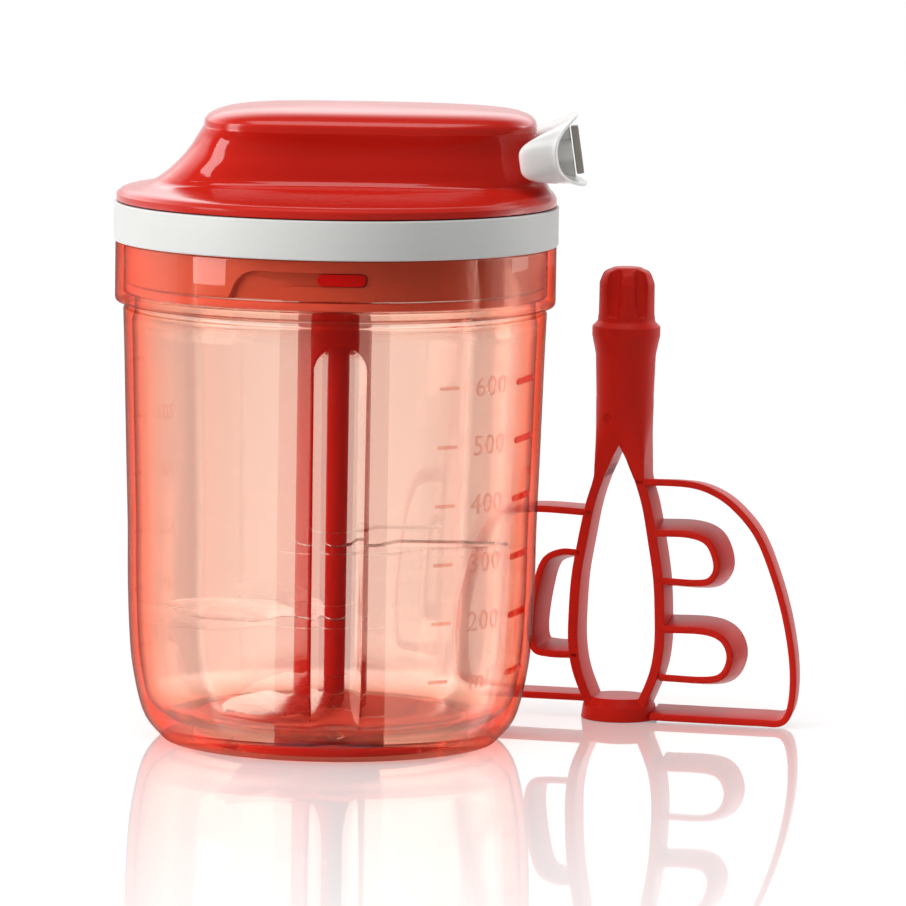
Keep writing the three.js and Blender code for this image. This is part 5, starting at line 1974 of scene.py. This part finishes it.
@dataclass
class Mechanism:
    """The drive inside the cover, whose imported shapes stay."""

    finishes: Mapping[str, Finish] = field(default_factory=lambda: {
        "column_core": Finish.STEEL, "drive_shaft": Finish.INNER_WHITE, "shaft_clip": Finish.STEEL,
        "thrust_washer": Finish.STEEL, "pawl_disc": Finish.INNER_WHITE, "mechanism_plate": Finish.STRIP_GREY,
        "spring_lid": Finish.STEEL, "recoil_spring": Finish.STEEL, "reel": Finish.INNER_WHITE,
        "reel_flange": Finish.INNER_WHITE, "cord_winding": Finish.CORD, "reel_axle": Finish.STEEL,
        "cord_eyelet": Finish.STEEL, "cord_ferrule": Finish.STEEL,
    })

    def build(self) -> None:
        """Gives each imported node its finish."""
        for node, finish in self.finishes.items():
            repaint(node, finish)


@dataclass
class Studio:
    """The glossy pale floor, the white room, the lamps and the camera."""

    camera_place: Triple = (29.3, -1734.2, 273.6)
    pitch: float = 6.684
    roll: float = 0.929
    lens: float = 283.7
    sensor: float = 36.0
    room_level: float = 0.24
    dark_level: float = 0.08
    back_level: float = 2.4
    floor_reach: float = 9000.0
    floor_level: float = -0.05
    mirror_roughness: float = 0.03

    def camera(self) -> None:
        """Sets the camera where the photograph was taken from."""
        data = bpy.data.cameras.new("camera")
        data.lens, data.sensor_width, data.sensor_fit = self.lens, self.sensor, "HORIZONTAL"
        data.clip_start, data.clip_end = 0.05, 20.0
        made = linked("camera", data)
        made.matrix_world = (
            Matrix.Translation(Vector(self.camera_place) * MM)
            @ Matrix.Rotation(math.radians(90 - self.pitch), 4, "X")
            @ Matrix.Rotation(math.radians(self.roll), 4, "Z")
        )
        bpy.context.scene.camera = made

    def floor_finish(self) -> Material:
        """Builds the floor's material.

        It is white with a soft mirror image, which is fainter towards the camera. Mirrored in the chopper,
        the floor in front is dark.

        Returns:
            The material.
        """
        material = bpy.data.materials.new("studio_floor")
        material.use_nodes = True
        material.node_tree.nodes.clear()
        wiring = Wiring(material.node_tree)
        seen = wiring.add("ShaderNodeLightPath").outputs
        across = wiring.axes()["Y"]
        plain = wiring.add("ShaderNodeBsdfDiffuse", {"Color": (0.8, 0.8, 0.8, 1)})
        direct = wiring.maths("MAXIMUM", seen["Is Glossy Ray"], seen["Is Transmission Ray"])
        shown = wiring.maths("MAXIMUM", seen["Is Camera Ray"], direct)
        lift = wiring.maths("MULTIPLY", shown, wiring.ramped(across, 0.1, 1.2, 0.5, 0.8))
        glow = wiring.add("ShaderNodeEmission", {"Color": (1, 1, 1, 1), "Strength": lift})
        base = wiring.add("ShaderNodeAddShader", {0: plain.outputs[0], 1: glow.outputs[0]})
        polish = {"Color": (1, 1, 1, 1), "Roughness": self.mirror_roughness}
        mirror = wiring.add("ShaderNodeBsdfGlossy", polish)
        fade = wiring.ramped(across, -0.24, 0.0, 0.3, 0.56)
        both = wiring.add("ShaderNodeMixShader", {0: fade, 1: base.outputs[0], 2: mirror.outputs[0]})
        bounced = wiring.maths("GREATER_THAN", seen["Glossy Depth"], 0.5)
        front = wiring.maths("MULTIPLY", bounced, wiring.ramped(across, -0.03, -0.06))
        dark = wiring.add("ShaderNodeEmission", {"Color": (1, 1, 1, 1), "Strength": self.dark_level})
        quiet = wiring.add("ShaderNodeMixShader", {0: front, 1: both.outputs[0], 2: dark.outputs[0]})
        wiring.add("ShaderNodeOutputMaterial", {"Surface": quiet.outputs[0]})
        return material

    def floor(self) -> None:
        """Lays a floor that keeps shadows."""
        reach = self.floor_reach
        corners = [(x * reach, y * reach, self.floor_level) for x, y in ((-1, -1), (1, -1), (1, 1), (-1, 1))]
        floor = piece("studio_floor", corners, [(0, 1, 2, 3)])
        floor.data.materials.append(self.floor_finish())

    def room(self) -> None:
        """A room that looks white and lights the chopper at a plain level.

        In a mirror it is dark but for the wall behind the chopper, which is brightest above the horizon.
        """
        world = bpy.data.worlds.new("studio_room")
        bpy.context.scene.world = world
        world.use_nodes = True
        world.node_tree.nodes.clear()
        wiring = Wiring(world.node_tree)
        seen = wiring.add("ShaderNodeLightPath").outputs
        way = wiring.axes("Generated")
        wall = wiring.maths("MULTIPLY", wiring.ramped(way["Y"], 0.0, 0.25), wiring.ramped(way["Z"], 0.8, 0.5))
        back = wiring.maths("MULTIPLY", wall, wiring.ramped(way["Z"], 0.18, 0.28, 1.0, self.back_level))
        behind = wiring.maths("MAXIMUM", back, self.dark_level)
        passed = seen["Is Transmission Ray"]
        lit = wiring.maths("MULTIPLY", passed, wiring.maths("GREATER_THAN", seen["Diffuse Depth"], 0.5))
        bounced = wiring.maths("MULTIPLY", passed, wiring.maths("GREATER_THAN", seen["Glossy Depth"], 0.5))
        straight = wiring.maths("SUBTRACT", passed, wiring.maths("MAXIMUM", lit, bounced))
        mirrored = wiring.maths("MULTIPLY", wiring.maths("MAXIMUM", seen["Is Glossy Ray"], bounced), behind)
        clear = wiring.maths("MAXIMUM", seen["Is Camera Ray"], straight)
        soft = wiring.maths("MULTIPLY", wiring.maths("MAXIMUM", seen["Is Diffuse Ray"], lit), self.room_level)
        strength = wiring.maths("MAXIMUM", wiring.maths("MAXIMUM", clear, mirrored), soft)
        light = wiring.add("ShaderNodeBackground", {"Color": (1, 1, 1, 1), "Strength": strength})
        wiring.add("ShaderNodeOutputWorld", {"Surface": light.outputs[0]})

    def lamp(self, name: str, place: Sequence[float], aim: Sequence[float], size: Pair, power: float) -> None:
        """Adds a soft box.

        Args:
            name: The lamp's name.
            place: Where its middle is, in millimetres.
            aim: The point that it faces, in millimetres.
            size: Its width and height in millimetres.
            power: Its power in watts.
        """
        data = bpy.data.lights.new(name, "AREA")
        data.shape, data.size, data.size_y, data.energy = "RECTANGLE", size[0] * MM, size[1] * MM, power
        made = linked(name, data)
        made.location = Vector(place) * MM
        made.rotation_euler = (Vector(aim) - Vector(place)).to_track_quat("-Z", "Y").to_euler()

    def build(self) -> None:
        """Sets up the studio."""
        self.camera()
        self.floor()
        self.room()
        self.lamp("tall_box", (-1105, -470, 430), (0, 0, 80), (460, 1100), 10.5)
        self.lamp("overhead", (-60, -250, 1100), (0, 0, 120), (900, 700), 6.0)
        self.lamp("rim", (1000, 380, 380), (40, 0, 80), (300, 700), 2.2)
        bpy.context.scene.view_settings.view_transform = "Standard"


def main() -> None:
    """Builds the chopper and its studio."""
    logging.basicConfig(level=logging.INFO, format="%(name)s: %(message)s")
    copies, rows, bars = ring_of_copies(), row_of_copies(), bar_on_path()
    for assembly in (
        Bowl(copies=copies, rows=rows), BladeColumn(), Cover(copies=copies), PullGrip(),
        Whisk(copies=copies, bars=bars), Mechanism(), Studio(),
    ):
        assembly.build()
        LOG.info("%s is ready", type(assembly).__name__)


if __name__ == "__main__":
    main()
